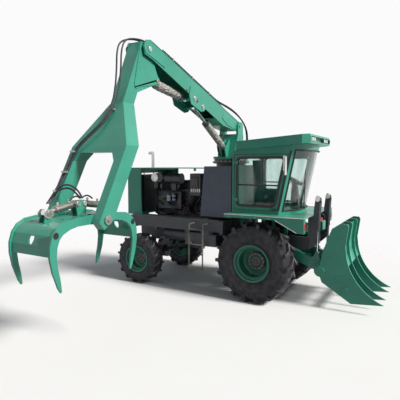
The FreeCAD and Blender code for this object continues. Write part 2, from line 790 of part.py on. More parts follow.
def side_shape(grow, low, high, y0, y1):
    """The slanted door outline grown on all sides, through the wall from y0 to y1."""
    rise = D.pillar_high - D.cab_low
    slope = (D.pillar_high_x - D.pillar_low_x) / rise
    front = D.pillar_low_x - 45
    return plate("xz", [
        (D.cab_rear + 40 - grow, low - grow),
        (front + slope * (low - grow - D.cab_low) + grow, low - grow),
        (front + slope * (high + grow - D.cab_low) + grow, high + grow),
        (D.cab_rear + 40 - grow, high + grow)], y0, y1)


roof_slope = (D.roof_front_low - D.roof_rear_low) / (D.roof_front - D.roof_rear)
under_roof = plate("xz", [
    (D.cab_rear - 50, D.cab_low - 10), (D.roof_front + 200, D.cab_low - 10),
    (D.roof_front + 200, D.roof_rear_low + roof_slope * (D.roof_front + 200 - D.roof_rear)),
    (D.cab_rear - 50, D.roof_rear_low + roof_slope * (D.cab_rear - 50 - D.roof_rear))],
    -1000, 1000)
door_low, door_high = D.cab_low + 70, D.roof_rear_low - 90
half = D.cab_half
w = D.cab_wall
cab_outer = cab_loft(size(0), D.cab_low, 3250)
cab_inner = cab_loft(w, D.cab_low + w, 3300)
screen_cut = plate("yz", [
    (-half + 75, D.cab_low + 85), (half - 75, D.cab_low + 85),
    (half - 75, D.roof_rear_low - 20), (-half + 75, D.roof_rear_low - 20)], 120, 1500)
rear_window = plate("yz", [
    (-half + 160, 2750), (half - 160, 2750), (half - 160, 3000), (-half + 160, 3000)],
    D.cab_rear - 20, D.cab_rear + w + 20)
shell = common(cut(cab_outer, cab_inner), under_roof)
hinge_x, hinge_y = D.cab_rear + 40, -half - D.hinge_radius - 1
hinge_pins, hinge_eyes = [], []
for z in (D.cab_low + 220, D.cab_low + 980):
    hinge_pins.append(rod("z", hinge_x, hinge_y, D.hinge_radius * 0.5, z, z + 110))
    for low in (z, z + 88):
        hinge_pins.append(box(hinge_x - 34, hinge_x + 4, hinge_y - 7, -half + 5, low, low + 22))
    hinge_eyes.append(join(
        rod("z", hinge_x, hinge_y, D.hinge_radius, z + 24, z + 86),
        box(hinge_x + 1, hinge_x + 90, hinge_y + 2, -half + 1, z + 24, z + 86)))
node("cab_shell", join(cut(
    shell, screen_cut, rear_window,
    side_shape(size(0), door_low, door_high, -half - 50, -half + w + 50),
    side_shape(size(-40), door_low, door_high, half - w - 50, half + 50)), *hinge_pins))

g = D.seat_gap
glass_ring = cut(cab_loft(size(14), D.cab_low + 20, 3250),
                 cab_loft(size(14) + D.glass, D.cab_low + 10, 3260))
screen_fit = plate("yz", [
    (-half + 75 + g, D.cab_low + 85 + g), (half - 75 - g, D.cab_low + 85 + g),
    (half - 75 - g, D.roof_rear_low - 20 - g), (-half + 75 + g, D.roof_rear_low - 20 - g)],
    300, 1500)
node("cab_glass", common(glass_ring, screen_fit),
     box(D.cab_rear + 14, D.cab_rear + 14 + D.glass, -half + 160 + g, half - 160 - g,
         2750 + g, 3000 - g),
     side_shape(size(-40) - g, door_low, door_high, half - 14 - D.glass, half - 14))

door_outline = side_shape(-D.door_gap, door_low, door_high, -half, -half + w)
door_window = side_shape(size(-60), door_low + 20, door_high, -half - 10, -half + w + 10)
node("cab_door", cut(
    join(door_outline, *hinge_eyes), door_window,
    rod("z", hinge_x, hinge_y, D.hinge_radius * 0.5 + D.pin_gap, D.cab_low, D.roof_rear_low)))
node("door_glass", side_shape(size(-60) - g, door_low + 20, door_high, -half + 14,
                              -half + 14 + D.glass))

roof_low_front = D.roof_front_low
roof_side = plate("xz", [
    (D.roof_rear, D.roof_rear_low), (D.roof_front, D.roof_front_low),
    (D.roof_front + 25, D.roof_front_low + D.roof_depth * 0.55),
    (D.roof_front - 10, D.roof_front_low + D.roof_depth),
    (D.roof_rear + 20, D.roof_rear_low + D.roof_depth)], -D.roof_half, D.roof_half)
roof_plan = plate("xy", [
    (D.roof_rear - 5, -D.roof_half), (D.roof_front - 130, -D.roof_half),
    (D.roof_front + 20, -D.roof_half + 110), (D.roof_front + 30, D.roof_half - 110),
    (D.roof_front - 130, D.roof_half), (D.roof_rear - 5, D.roof_half)], 3000, 3500)
lamp_z = D.roof_front_low + D.roof_depth * 0.5
roof = cut(common(roof_side, roof_plan),
           box(D.roof_front - 70, D.roof_front + 100, -D.roof_half + 150, D.roof_half - 150,
               lamp_z - 52, lamp_z + 48))
roof_void = plate("xz", [
    (D.roof_rear + 60, D.roof_rear_low + 40), (D.roof_front - 160, D.roof_front_low + 24),
    (D.roof_front - 160, D.roof_front_low + D.roof_depth - 46),
    (D.roof_rear + 60, D.roof_rear_low + D.roof_depth - 40)],
    -D.roof_half + 50, D.roof_half - 50)
node("cab_roof", cut(roof, roof_void))
LAMP_Y = [-640, -520, -400, 400, 520, 640]
lamps = [box(D.roof_front - 70, D.roof_front - 12, y - 45, y + 45, lamp_z - 42, lamp_z + 40)
         for y in LAMP_Y]
node("roof_lamps", *lamps)

node("seat", join(
    box(-330, 170, -260, 260, D.cab_low + w, D.cab_low + 330),
    box(-330, 200, -270, 270, D.cab_low + 330, D.cab_low + 460),
    plate("xz", [(-330, D.cab_low + 450), (-220, D.cab_low + 450), (-260, D.cab_low + 1090),
                 (-370, D.cab_low + 1090)], -240, 240)))
steer = doc.addObject("Part::Torus", "wheel_rim")
steer.Radius1 = 180
steer.Radius2 = 15
place(steer, 470, 0, D.cab_low + 665, (0, 1, 0), 30)
node("steering_column", join(
    plate("xz", [(430, D.cab_low + w), (620, D.cab_low + w), (530, D.cab_low + 600),
                 (450, D.cab_low + 600)], -80, 80),
    strut("xz", 0, (490, D.cab_low + 580), (470, D.cab_low + 690), 40, 0, 110),
    plate("xz", [(302, D.cab_low + 745), (312, D.cab_low + 765), (640, D.cab_low + 575),
                 (630, D.cab_low + 555)], -16, 16), steer))

# Crane column
cx = D.crane_x
pin_y, pin_z = -D.boom_pin_radial, D.boom_pin_height
column_low = profile("xy", [(cx - 195, -290), (cx + 195, -290), (cx + 195, 270), (cx - 195, 270)],
                     D.column_low + D.slew_flange)
column_high = profile("xy", [(cx - 235, -130), (cx + 235, -130), (cx + 235, 160), (cx - 235, 160)],
                      pin_z - 175)
column_form = doc.addObject("Part::Loft", "column_form")
column_form.Sections = [column_low, column_high]
column_form.Solid = True
column_form.Ruled = True
ear_in = D.boom_width / 2 + D.run_gap + 1
ears = []
for side in (-1, 1):
    x0 = cx + side * ear_in if side > 0 else cx - ear_in - D.column_ear - 22
    ears.append(plate("yz", [
        (-130, pin_z - 176), (160, pin_z - 176), (150, pin_z + 20), (90, pin_z + 95),
        (-60, pin_z + 95), (-118, pin_z + 20)], x0, x0 + D.column_ear + 22))
foot_y, foot_z = -D.boom_foot_radial, D.boom_foot_height
for side in (-1, 1):
    x0 = cx + D.eye_half + 3 if side > 0 else cx - D.eye_half - 3 - 24
    ears.append(plate("yz", [
        (-200, D.column_low + D.slew_flange), (foot_y + 20, D.column_low + D.slew_flange),
        (foot_y - 50, foot_z - 10), (foot_y - 30, foot_z + 44), (foot_y + 30, foot_z + 52),
        (-190, foot_z + 200)], x0, x0 + 24))
column_pins = [
    rod("x", pin_y, pin_z, D.boom_pin_radius, cx - ear_in - 60, cx + ear_in + 60),
    rod("x", foot_y, foot_z, D.cylinder_pin_radius, cx - D.eye_half - 34, cx + D.eye_half + 34),
]
node("crane_column", join(
    rod("z", cx, 0, D.slew_flange_radius, D.column_low, D.column_low + D.slew_flange),
    column_form, *ears, *column_pins))

# Boom: two side sheets, top and bottom sheets, tubes at both pins
s = D.boom_sheet
tip_y, tip_z = -D.boom_tip_radial, D.boom_tip_height
tr = D.boom_tip_radius
bw = D.boom_width / 2
side_points = [
    (pin_y + 112, pin_z + 40), (pin_y + 96, pin_z - 88), (pin_y - 60, pin_z - 108),
    (-D.boom_knee_radial + 120, D.boom_knee_low), (tip_y + 120, tip_z - tr + 2),
    (tip_y - 112, tip_z - 96), (tip_y - 146, tip_z + 10), (tip_y - 84, tip_z + 122),
    (tip_y + 40, tip_z + tr), (-D.boom_knee_radial, D.boom_knee_high),
    (pin_y + 60, pin_z + 108)]
boom_parts = []
for x0 in (cx - bw, cx + bw - s):
    boom_parts.append(plate("yz", side_points, x0, x0 + s))
boom_parts.append(plate("yz", [
    (tip_y + 300, tip_z + tr - 78), (tip_y + 300, tip_z + tr - 78 - s),
    (-D.boom_knee_radial, D.boom_knee_high - s), (pin_y + 60, pin_z + 108 - s),
    (pin_y + 60, pin_z + 108), (-D.boom_knee_radial, D.boom_knee_high)],
    cx - bw + s / 2, cx + bw - s / 2))
belly_slope = (tip_z - tr + 2 - D.boom_knee_low) / (tip_y + 120 + D.boom_knee_radial - 120)
belly_end = -D.boom_belly_radial
belly_z = D.boom_knee_low + belly_slope * (belly_end + D.boom_knee_radial - 120)
boom_parts.append(plate("yz", [
    (pin_y - 60, pin_z - 108), (-D.boom_knee_radial + 120, D.boom_knee_low),
    (belly_end, belly_z), (belly_end, belly_z + s),
    (-D.boom_knee_radial + 120, D.boom_knee_low + s), (pin_y - 60, pin_z - 108 + s)],
    cx - bw + s / 2, cx + bw - s / 2))
boom_parts.append(rod("x", pin_y, pin_z, D.boom_pin_radius + 34, cx - bw, cx + bw))
eye_y, eye_z = -D.boom_eye_radial, D.boom_eye_height
seye_y, seye_z = -D.stick_eye_radial, D.stick_eye_height
bracket = [
    (eye_y + 230, eye_z + 60), (eye_y + 60, eye_z - 72), (eye_y - 60, eye_z - 96),
    (seye_y - 120, seye_z - 110), (seye_y - 190, seye_z + 40), (seye_y - 140, seye_z + 200),
    (eye_y + 100, eye_z + 170)]
for x0 in (cx - bw - 16, cx + bw):
    boom_parts.append(plate("yz", bracket, x0, x0 + 16))
for at_y, at_z in ((eye_y, eye_z), (seye_y, seye_z)):
    for x0, x1 in ((cx - bw, cx - D.eye_half - 6), (cx + D.eye_half + 6, cx + bw)):
        boom_parts.append(rod("x", at_y, at_z, D.cylinder_pin_radius + 16, x0, x1))
boom_solid = cut(join(*boom_parts),
                 rod("x", pin_y, pin_z, D.boom_pin_radius + D.pin_gap, cx - bw - 20, cx + bw + 20))
tip_pin = rod("x", tip_y, tip_z, D.stick_pin_radius, cx - bw - 22, cx + bw + 22)
tip_heads = [rod("x", tip_y, tip_z, D.stick_pin_radius + 26, x0, x0 + 14)
             for x0 in (cx - bw - 14, cx + bw)]
node("boom", join(boom_solid, tip_pin, *tip_heads))

# Stick with its fork: the side outline and the front outline shared, then hollowed
sw = D.stick_width / 2
gy, gz = -D.grapple_radial, D.grapple_height
ky, kz = -D.stick_knee_radial, D.stick_knee_height
fy, fz_ = -D.fork_radial, D.fork_height
ld = D.leg_depth


def stick_side(inset):
    i = size(inset)
    return plate("yz", [
        (tip_y + 118 - i, tip_z + 60), (tip_y - 130 + i, tip_z + 96),
        (ky - 245 + i, kz + 20), (fy - ld - 8 + i, fz_ + 8),
        (gy - 150 + i, gz - 20), (gy - 60, gz - 120 + i), (gy + 118 - i, gz - 20),
        (fy - i, fz_), (ky - i, kz)], cx - 700, cx + 700)


def stick_front(inset):
    i = size(inset)
    lo, lt = D.leg_offset, D.leg_thick / 2
    left = [(cx - sw + i, tip_z + 250), (cx - sw + i, kz + 30), (cx - lo - lt + i, fz_ + 20),
            (cx - lo - lt + i, gz - 200), (cx - lo + lt - i, gz - 200),
            (cx - lo + lt - i, fz_ - 190), (cx - lo + lt + 80, fz_ - 70 + i)]
    right = [(cx + lo - lt - 80, fz_ - 70 + i), (cx + lo - lt + i, fz_ - 190),
             (cx + lo - lt + i, gz - 200), (cx + lo + lt - i, gz - 200),
             (cx + lo + lt - i, fz_ + 20), (cx + sw - i, kz + 30), (cx + sw - i, tip_z + 250)]
    return plate("xz", left + right, -5600, -3000)


stick_solid = common(stick_side(0), stick_front(0))
t = D.stick_sheet
stick_void = cut(common(stick_side(t), stick_front(t)),
                 box(cx - 900, cx + 900, -6000, -3000, tip_z - 130, tip_z + 500),
                 box(cx - 900, cx + 900, -6000, -3000, gz - 300, gz + 150))
lug_y, lug_z = -D.stick_lug_radial, D.stick_lug_height
stick_lugs = []
for x0 in (cx - sw, cx + sw - 20):
    stick_lugs.append(plate("yz", [
        (tip_y + 100, tip_z - 60), (tip_y + 150, tip_z - 220), (lug_y + 60, lug_z + 50), (lug_y + 66, lug_z - 20),
        (lug_y + 20, lug_z - 68), (lug_y - 60, lug_z - 60), (ky + 60, kz + 200), (ky - 60, kz + 160)],
        x0, x0 + 20))
stick_pin_bore = rod("x", tip_y, tip_z, D.stick_pin_radius + D.pin_gap, cx - sw - 60, cx + sw + 60)
leg_bores = [rod("x", gy, gz, D.grapple_pin_radius + D.pin_gap, cx - 700, cx + 700)]
stick_body = cut(join(cut(stick_solid, stick_void), *stick_lugs), stick_pin_bore, *leg_bores)
stick_pin = rod("x", lug_y, lug_z, D.cylinder_pin_radius, cx - sw - 14, cx + sw + 14)
node("stick_fork", join(stick_body, stick_pin))

# Grapple: cross tube with its tower, and two equal jaws facing each other
leg_in = D.leg_offset - D.leg_thick / 2
tine_out = leg_in - D.run_gap - 2
ct = D.cross_tube_radius
tower = [plate("yz", [(gy - 70, gz + 20), (gy + 70, gz + 20),
                      (gy + D.tower_pin_half + 42, gz + D.tower_height),
                      (gy + D.tower_pin_half, gz + D.tower_height + 42),
                      (gy - D.tower_pin_half, gz + D.tower_height + 42),
                      (gy - D.tower_pin_half - 42, gz + D.tower_height)], x0, x0 + 20)
         for x0 in (cx - D.eye_half - 3 - 20, cx + D.eye_half + 3)]
grapple_cross = join(
    rod("x", gy, gz, ct, cx - 190, cx + 190),
    rod("x", gy, gz, D.grapple_pin_radius, cx - D.leg_offset - D.leg_thick / 2 - 26,
        cx + D.leg_offset + D.leg_thick / 2 + 26),
    *tower,
    *[rod("x", gy + s_ * D.tower_pin_half, gz + D.tower_height, D.cylinder_pin_radius,
          cx - D.eye_half - 32, cx + D.eye_half + 32) for s_ in (-1, 1)])
node("grapple_cross", grapple_cross)

# One tine's outline, out from and up from the pivot, for the outer jaw
JAW = [
    # out, up
    (-20, 66), (100, 62), (390, 26), (585, -10), (700, -78), (765, -170), (798, -300),
    (790, -430), (740, -600), (650, -790), (606, -850), (590, -838), (618, -700),
    (662, -560), (688, -430), (684, -310), (655, -222), (605, -165), (500, -110),
    (380, -78), (200, -62), (-20, -60)]
LUG_TILT = 4.5


def jaw(side):
    """side -1 is the outer jaw, away from the machine; +1 the inner one."""
    def at(out, up):
        c, s_ = math.cos(math.radians(LUG_TILT)), math.sin(math.radians(LUG_TILT))
        o, u = out * c - up * s_, out * s_ + up * c
        return (gy + o * side, gz + u)
    points = [at(o, u) for o, u in JAW]
    pieces = []
    for edge in (-1, 1):
        # the two jaws' hubs sit side by side on the pin
        inner = D.tine_offset if side < 0 else D.tine_offset - D.tine_thick - 4
        x0 = cx + inner if edge > 0 else cx - inner - D.tine_thick
        pieces.append(plate("yz", points, x0, x0 + D.tine_thick))
        pieces.append(rod("x", gy, gz, 66, x0, x0 + D.tine_thick))
    inner = D.tine_offset if side < 0 else D.tine_offset - D.tine_thick - 4
    deck_pts = [(150, 27), (390, 4), (575, -30), (682, -92), (742, -178), (776, -302), (768, -420),
                (750, -418), (758, -304), (726, -186), (668, -104), (568, -48), (390, -14), (150, 9)]
    web = plate("yz", [at(o, u) for o, u in deck_pts], cx - inner - 2, cx + inner + 2)
    lug_pts = [(D.jaw_lug_out - 70, -30), (D.jaw_lug_out + 60, -50),
               (D.jaw_lug_out + 34, D.jaw_lug_up + 20), (D.jaw_lug_out - 34, D.jaw_lug_up + 20)]
    for x0 in (cx - D.eye_half - 3 - 18, cx + D.eye_half + 3):
        pieces.append(plate("yz", [at(o, u) for o, u in lug_pts], x0, x0 + 18))
    pin = at(D.jaw_lug_out, D.jaw_lug_up)
    bore = rod("x", gy, gz, D.grapple_pin_radius + D.pin_gap, cx - 600, cx + 600)
    solid = cut(join(web, *pieces), bore)
    return solid, pin


outer_solid, outer_pin = jaw(-1)
inner_solid, inner_pin = jaw(1)
node("jaw_outer", outer_solid)
node("jaw_inner", inner_solid)


def cylinder(prefix, plane, side, foot, head, barrel, piston, length):
    """A barrel whose eye turns on a pin at foot, and a rod whose eye meets head."""
    pin_r = D.cylinder_pin_radius
    run = hypot(size(head[0]) - foot[0], size(head[1]) - foot[1])
    sides = side if isinstance(side, (list, tuple)) else [side]
    barrels, rods = [], []
    axis = "x" if plane == "yz" else "y"
    for place_at in sides:
        place_at = size(place_at)
        eye_r = pin_r + D.eye_wall
        tube = cut(join(
            rod(axis, foot[0], foot[1], eye_r, place_at - D.eye_half, place_at + D.eye_half),
            strut(plane, place_at, foot, head, D.eye_half * 0.8, eye_r * 0.7, eye_r + 40),
            strut(plane, place_at, foot, head, barrel, eye_r + 28, length)),
            strut(plane, place_at, foot, head, piston + D.pin_gap, eye_r + 60, length + 5),
            rod(axis, foot[0], foot[1], pin_r + D.pin_gap, place_at - 100, place_at + 100))
        barrels.append(tube)
        rods.append(join(
            rod(axis, head[0], head[1], eye_r, place_at - D.eye_half + 2, place_at + D.eye_half - 2),
            strut(plane, place_at, foot, head, piston, length - 120, run - eye_r * 0.6)))
    node(prefix + "_barrel", *barrels)
    node(prefix + "_rod", *rods)


cylinder("boom_cylinder", "yz", cx, (foot_y, foot_z), (eye_y, eye_z),
         D.boom_barrel_radius, D.boom_rod_radius, D.boom_barrel_length)
cylinder("stick_cylinder", "yz", cx, (lug_y, lug_z), (seye_y, seye_z),
         D.stick_barrel_radius, D.stick_rod_radius, D.stick_barrel_length)
cylinder("outer_jaw_cylinder", "yz", cx, (gy - D.tower_pin_half, gz + D.tower_height), outer_pin,
         D.jaw_barrel_radius, D.jaw_rod_radius, D.jaw_barrel_length)
cylinder("inner_jaw_cylinder", "yz", cx, (gy + D.tower_pin_half, gz + D.tower_height), inner_pin,
         D.jaw_barrel_radius, D.jaw_rod_radius, D.jaw_barrel_length)

# Front tower, lift cylinders, arms and rake
tower_parts = []
cheek = D.arm_thick / 2 + D.run_gap
for side in (-1, 1):
    for offset in (-cheek - 14, cheek):
        y0 = side * D.lift_y + offset
        tower_parts.append(plate("xz", [
            (D.chassis_front, D.rail_low + 80), (D.tower_x + 10, 1230),
            (D.tower_x + 50, D.tower_top - 60), (D.tower_x + 40, D.tower_top + 30),
            (D.tower_x - 40, D.tower_top + 40), (D.deck_front + 6, 1850),
            (D.deck_front + 6, deck_low - 8), (D.chassis_front, deck_low - 8)], y0, y0 + 14))
    tower_parts.append(rod("y", D.tower_x, D.tower_top, D.cylinder_pin_radius,
                           side * D.lift_y - cheek - 22, side * D.lift_y + cheek + 22))
    for z in (1500, 1690):
        tower_parts.append(box(D.chassis_front + 20, D.chassis_front + 60,
                               side * D.lift_y - cheek - 7, side * D.lift_y + cheek + 7,
                               z, z + 14))
tower_parts.append(box(D.chassis_front, D.chassis_front + 20, -D.lift_y + cheek + 7,
                       D.lift_y - cheek - 7, D.rail_low + 80, deck_low - 8))
for side in (-1, 1):
    outer = -D.lift_y - cheek - 14 if side < 0 else D.lift_y - cheek - 14
    tower_parts.append(box(D.chassis_front, D.chassis_front + 20, outer,
                           outer + cheek * 2 + 28, 1400, deck_low - 8))
node("front_tower", join(*tower_parts))
ax, az = D.arm_pin_x, D.arm_pin_z
tx, tz = D.rake_tube_x, D.rake_tube_z
ex, ez = D.lift_eye_x, D.lift_eye_z
arms = []
for side in (-1, 1):
    mid = side * D.lift_y
    y0 = mid - D.arm_thick / 2
    blade = plate("xz", [
        (ax - 88, az - 40), (ax - 30, az - 96), (tx - 40, tz - 80), (tx + 10, tz + 60),
        (ex + 10, tz + 150), (ax + 40, az + 92), (ax - 60, az + 74)], y0, y0 + D.arm_thick)
    ears_on_arm = [plate("xz", [
        (ex - 100, tz + 150), (ex + 80, tz + 70), (ex + 46, ez + 10), (ex + 20, ez + 46),
        (ex - 20, ez + 46), (ex - 46, ez + 10)], y1, y1 + 14)
        for y1 in (mid - D.eye_half - 5 - 14, mid + D.eye_half + 5)]
    arms.append(cut(
        join(blade, *ears_on_arm),
        rod("y", ax, az, D.arm_pin_radius + D.pin_gap, mid - 100, mid + 100),
        rod("y", tx, tz, D.rake_tube_radius + D.seat_gap, mid - 100, mid + 100)))
tie_x = (ax + tx) / 2
tie = plate("xz", [(tie_x - 60, tz + 88), (tie_x + 110, tz + 26), (tie_x + 116, tz + 44),
                   (tie_x - 54, tz + 106)], -D.lift_y + D.arm_thick / 2 - 5,
            D.lift_y - D.arm_thick / 2 + 5)
node("rake_arms", join(tie, *arms))

# One rake plate, x and height, with the hollow digging edge as an arc
RAKE = [
    (2364, 219, -1067), (1700, 1050), (1679, 1237), (1727, 1607), (1700, 1655), (1586, 1660),
    (1427, 1552), (1331, 1284), (1254, 1030), (1205, 760), (1205, 660), (1262, 500), (1802, 163)]
rake_parts = []
for y in (-D.rake_half, -D.rake_inner_y, D.rake_inner_y, D.rake_half):
    rake_parts.append(plate("xz", [
        (tx + point[0] - 1225, tz + point[1] - 712) + tuple(point[2:]) for point in RAKE],
        y - D.rake_plate / 2, y + D.rake_plate / 2))
rake_parts.append(plate("xz", [
    (tx + x - 1225, tz + z - 712) for x, z in
    [(1640, 1600), (1604, 1240), (1622, 1040), (1700, 830), (1720, 838), (1644, 1046),
     (1626, 1240), (1662, 1598)]], -D.rake_half, D.rake_half))
rake_parts.append(rod("y", tx, tz, D.rake_tube_radius, -D.rake_half - D.rake_plate - 30,
                      D.rake_half + D.rake_plate + 30))
for dx, dz in ((335, -112), (475, -302)):
    rake_parts.append(rod("y", tx + dx, tz + dz, D.rake_stay_radius, -D.rake_half - D.rake_plate,
                          D.rake_half + D.rake_plate))
node("rake", join(*rake_parts))

cylinder("rake_lift", "xz", [-D.lift_y, D.lift_y], (D.tower_x, D.tower_top), (ex, ez),
         D.lift_barrel_radius, D.lift_rod_radius, D.lift_barrel_length)

# Side mirror on the front pillar
node("mirror", join(
    box(572, 590, -D.cab_half - 130, -D.cab_half - 20, 2560, 2920),
    rod("y", 581, 2600, 9, -D.cab_half - 60, -D.cab_half - D.seat_gap)))

doc.recompute()

# Every object must have computed, and every sub-part must be a sound solid.
for obj in doc.Objects:
    if "Invalid" in obj.State or "Error" in obj.State:
        raise RuntimeError("%s (%s) failed: %s" % (obj.Name, obj.TypeId, obj.State))
for obj in NODES:
    shape = obj.Shape
    if shape.isNull() or not shape.isValid() or shape.Volume <= 0 or not shape.Solids:
        raise RuntimeError("%s has no sound shape" % obj.Label)

whole = FreeCAD.BoundBox()
os.makedirs("parts", exist_ok=True)
for obj in NODES:
    whole.add(obj.Shape.BoundBox)
    obj.Shape.exportStep(os.path.join("parts", obj.Label + ".step"))
    print("%-24s solids %2d  volume %8.4f" % (obj.Label, len(obj.Shape.Solids),
                                             obj.Shape.Volume / 1e9))
print("box", whole)
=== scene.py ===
import math
import random
from functools import partial

import bmesh
import bpy
from mathutils import Matrix, Vector


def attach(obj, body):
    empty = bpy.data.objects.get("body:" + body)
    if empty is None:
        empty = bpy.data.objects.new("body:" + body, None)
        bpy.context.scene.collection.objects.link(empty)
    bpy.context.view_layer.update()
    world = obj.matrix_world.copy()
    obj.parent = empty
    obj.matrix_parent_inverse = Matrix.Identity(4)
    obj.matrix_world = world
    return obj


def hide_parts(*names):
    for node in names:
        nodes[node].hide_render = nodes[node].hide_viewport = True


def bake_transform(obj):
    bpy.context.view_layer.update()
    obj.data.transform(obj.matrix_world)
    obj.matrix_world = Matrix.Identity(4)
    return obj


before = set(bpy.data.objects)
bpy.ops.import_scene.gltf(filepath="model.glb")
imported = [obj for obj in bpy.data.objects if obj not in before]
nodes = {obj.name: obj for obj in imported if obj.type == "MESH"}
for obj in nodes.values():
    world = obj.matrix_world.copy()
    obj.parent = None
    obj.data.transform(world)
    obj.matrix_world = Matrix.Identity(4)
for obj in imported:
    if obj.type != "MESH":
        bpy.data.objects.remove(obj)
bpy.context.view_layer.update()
random.seed(7)

# Places are written as in the part's source, in mm from the ground under the
# middle of the front axle: x forward, y to the driver's left, z up.
CRANE_X = -1000
WHEELBASE = 2860
GRAPPLE_OUT = 4790
GRAPPLE_UP = 2056
JAW_TILT = math.radians(4.5)
EDGE = math.radians(32)


def spot(x, y, z):
    return Vector(((x + 538.0) / 1000, (y + 2195.65) / 1000, z / 1000))


def on_crane(side, out, up):
    """A place on the stored crane: across it, outwards from its column, and up."""
    return spot(CRANE_X + side, -out, up)


def on_jaw(way, across, out, up):
    """A place on a jaw, way 1 for the outer and -1 for the inner: across, out and up from its pin."""
    o = out * math.cos(JAW_TILT) - up * math.sin(JAW_TILT)
    u = out * math.sin(JAW_TILT) + up * math.cos(JAW_TILT)
    return on_crane(across, GRAPPLE_OUT + way * o, GRAPPLE_UP + u)


# Finishes

class Finish:
    """A material and the node calls that its finish is written with."""

    def __init__(self, name, rough=0.5, metal=0.0):
        self.material = bpy.data.materials.new(name)
        self.material.use_nodes = True
        self.tree = self.material.node_tree
        self.shader = self.tree.nodes["Principled BSDF"]
        self.shader.inputs["Metallic"].default_value = metal
        self.shader.inputs["Roughness"].default_value = rough
        self.place = self.tree.nodes.new("ShaderNodeTexCoord").outputs["Object"]

    def link(self, a, b):
        self.tree.links.new(a, b)

    def socket(self, name, value):
        self.shader.inputs[name].default_value = value

    def noise(self, scale, detail=4.0, stretch=None):
        node = self.tree.nodes.new("ShaderNodeTexNoise")
        node.inputs["Scale"].default_value = scale
        node.inputs["Detail"].default_value = detail
        place = self.place
        if stretch is not None:
            mapping = self.tree.nodes.new("ShaderNodeMapping")
            mapping.inputs["Scale"].default_value = stretch
            self.link(self.place, mapping.inputs["Vector"])
            place = mapping.outputs["Vector"]
        self.link(place, node.inputs["Vector"])
        return node.outputs["Fac"]

    def spread(self, value, low, high, to_low=0.0, to_high=1.0):
        node = self.tree.nodes.new("ShaderNodeMapRange")
        for key, number in (("From Min", low), ("From Max", high),
                            ("To Min", to_low), ("To Max", to_high)):
            node.inputs[key].default_value = number
        self.link(value, node.inputs["Value"])
        return node.outputs["Result"]

    def sum(self, a, b, how="MULTIPLY"):
        node = self.tree.nodes.new("ShaderNodeMath")
        node.operation = how
        self.link(a, node.inputs[0])
        if isinstance(b, (int, float)):
            node.inputs[1].default_value = b
        else:
            self.link(b, node.inputs[1])
        return node.outputs[0]

    def mix(self, share, a, b):
        node = self.tree.nodes.new("ShaderNodeMix")
        node.data_type = "RGBA"
        self.link(share, node.inputs["Factor"])
        for colour, entry in ((a, node.inputs["A"]), (b, node.inputs["B"])):
            if isinstance(colour, tuple):
                entry.default_value = (*colour, 1)
            else:
                self.link(colour, entry)
        return node.outputs["Result"]

    def facing_up(self):
        geometry = self.tree.nodes.new("ShaderNodeNewGeometry")
        split = self.tree.nodes.new("ShaderNodeSeparateXYZ")
        self.link(geometry.outputs["Normal"], split.inputs[0])
        return split.outputs["Z"]

    def colour(self, value):
        self.link(value, self.shader.inputs["Base Color"])

    def rough(self, value):
        self.link(value, self.shader.inputs["Roughness"])

    def bump(self, value, strength, distance=0.002):
        node = self.tree.nodes.new("ShaderNodeBump")
        node.inputs["Strength"].default_value = strength
        node.inputs["Distance"].default_value = distance
        self.link(value, node.inputs["Height"])
        self.link(node.outputs["Normal"], self.shader.inputs["Normal"])


def painted(name, base, worn, dust, rough, dusty=0.5):
    """Sprayed steel: slightly uneven colour and a film of dust on top."""
    f = Finish(name, rough)
    tone = f.mix(f.spread(f.noise(2.3, 5), 0.35, 0.7), base, worn)
    streaks = f.spread(f.noise(6.0, 5, (1, 1, 0.16)), 0.5, 0.8, 0.0, 0.35)
    tone = f.mix(streaks, tone, worn)
    settled = f.sum(f.spread(f.facing_up(), 0.3, 1.0, 0.04, dusty),
                    f.spread(f.noise(5.5, 6), 0.3, 0.75, 0.2, 1.0))
    tone = f.mix(settled, tone, dust)
    f.colour(tone)
    f.rough(f.spread(f.noise(9.0, 4), 0.3, 0.75, rough - 0.07, rough + 0.13))
    f.socket("Coat Weight", 0.06)
    f.socket("Coat Roughness", 0.25)
    f.bump(f.noise(140.0, 2), 0.12, 0.001)
    return f.material


def tyre_rubber(name, centre, radius):
    """Black rubber, with a painted sheen of light in pale grey patches on the lugs' outer parts."""
    f = Finish(name, 0.78)
    mapping = f.tree.nodes.new("ShaderNodeMapping")
    mapping.inputs["Location"].default_value = -centre
    f.link(f.place, mapping.inputs["Vector"])
    split = f.tree.nodes.new("ShaderNodeSeparateXYZ")
    f.link(mapping.outputs["Vector"], split.inputs[0])
    far = f.sum(f.sum(split.outputs["X"], split.outputs["X"]),
                f.sum(split.outputs["Z"], split.outputs["Z"]), "ADD")
    far = f.sum(far, 0.5, "POWER")
    outer = f.spread(far, radius * 0.93, radius * 0.995, 0.0, 1.0)
    sheen_patches = f.spread(f.noise(7.0, 6), 0.42, 0.66, 0.05, 0.75)
    low = f.spread(f.noise(2.0, 3), 0.4, 0.7, 0.0, 0.10)
    tone = f.mix(low, (0.017, 0.017, 0.022), (0.060, 0.056, 0.054))
    # painted sheen: the lugs' outer parts are mixed towards pale grey in patches, standing in for light on
    # the rubber
    f.colour(f.mix(f.sum(outer, sheen_patches), tone, (0.185, 0.172, 0.170)))
    f.rough(f.spread(f.noise(11.0), 0.3, 0.7, 0.55, 0.9))
    rings = f.tree.nodes.new("ShaderNodeTexNoise")
    rings.inputs["Scale"].default_value = 60
    f.link(f.place, rings.inputs["Vector"])
    f.bump(rings.outputs["Fac"], 0.3, 0.002)
    return f.material


def metal(name, colour, dull, rough, grain=60.0):
    f = Finish(name, rough, 1.0)
    f.colour(f.mix(f.spread(f.noise(12.0, 5), 0.35, 0.7), colour, dull))
    f.rough(f.spread(f.noise(grain, 3), 0.3, 0.7, rough - 0.08, rough + 0.12))
    f.bump(f.noise(grain * 3, 2), 0.08, 0.0006)
    return f.material


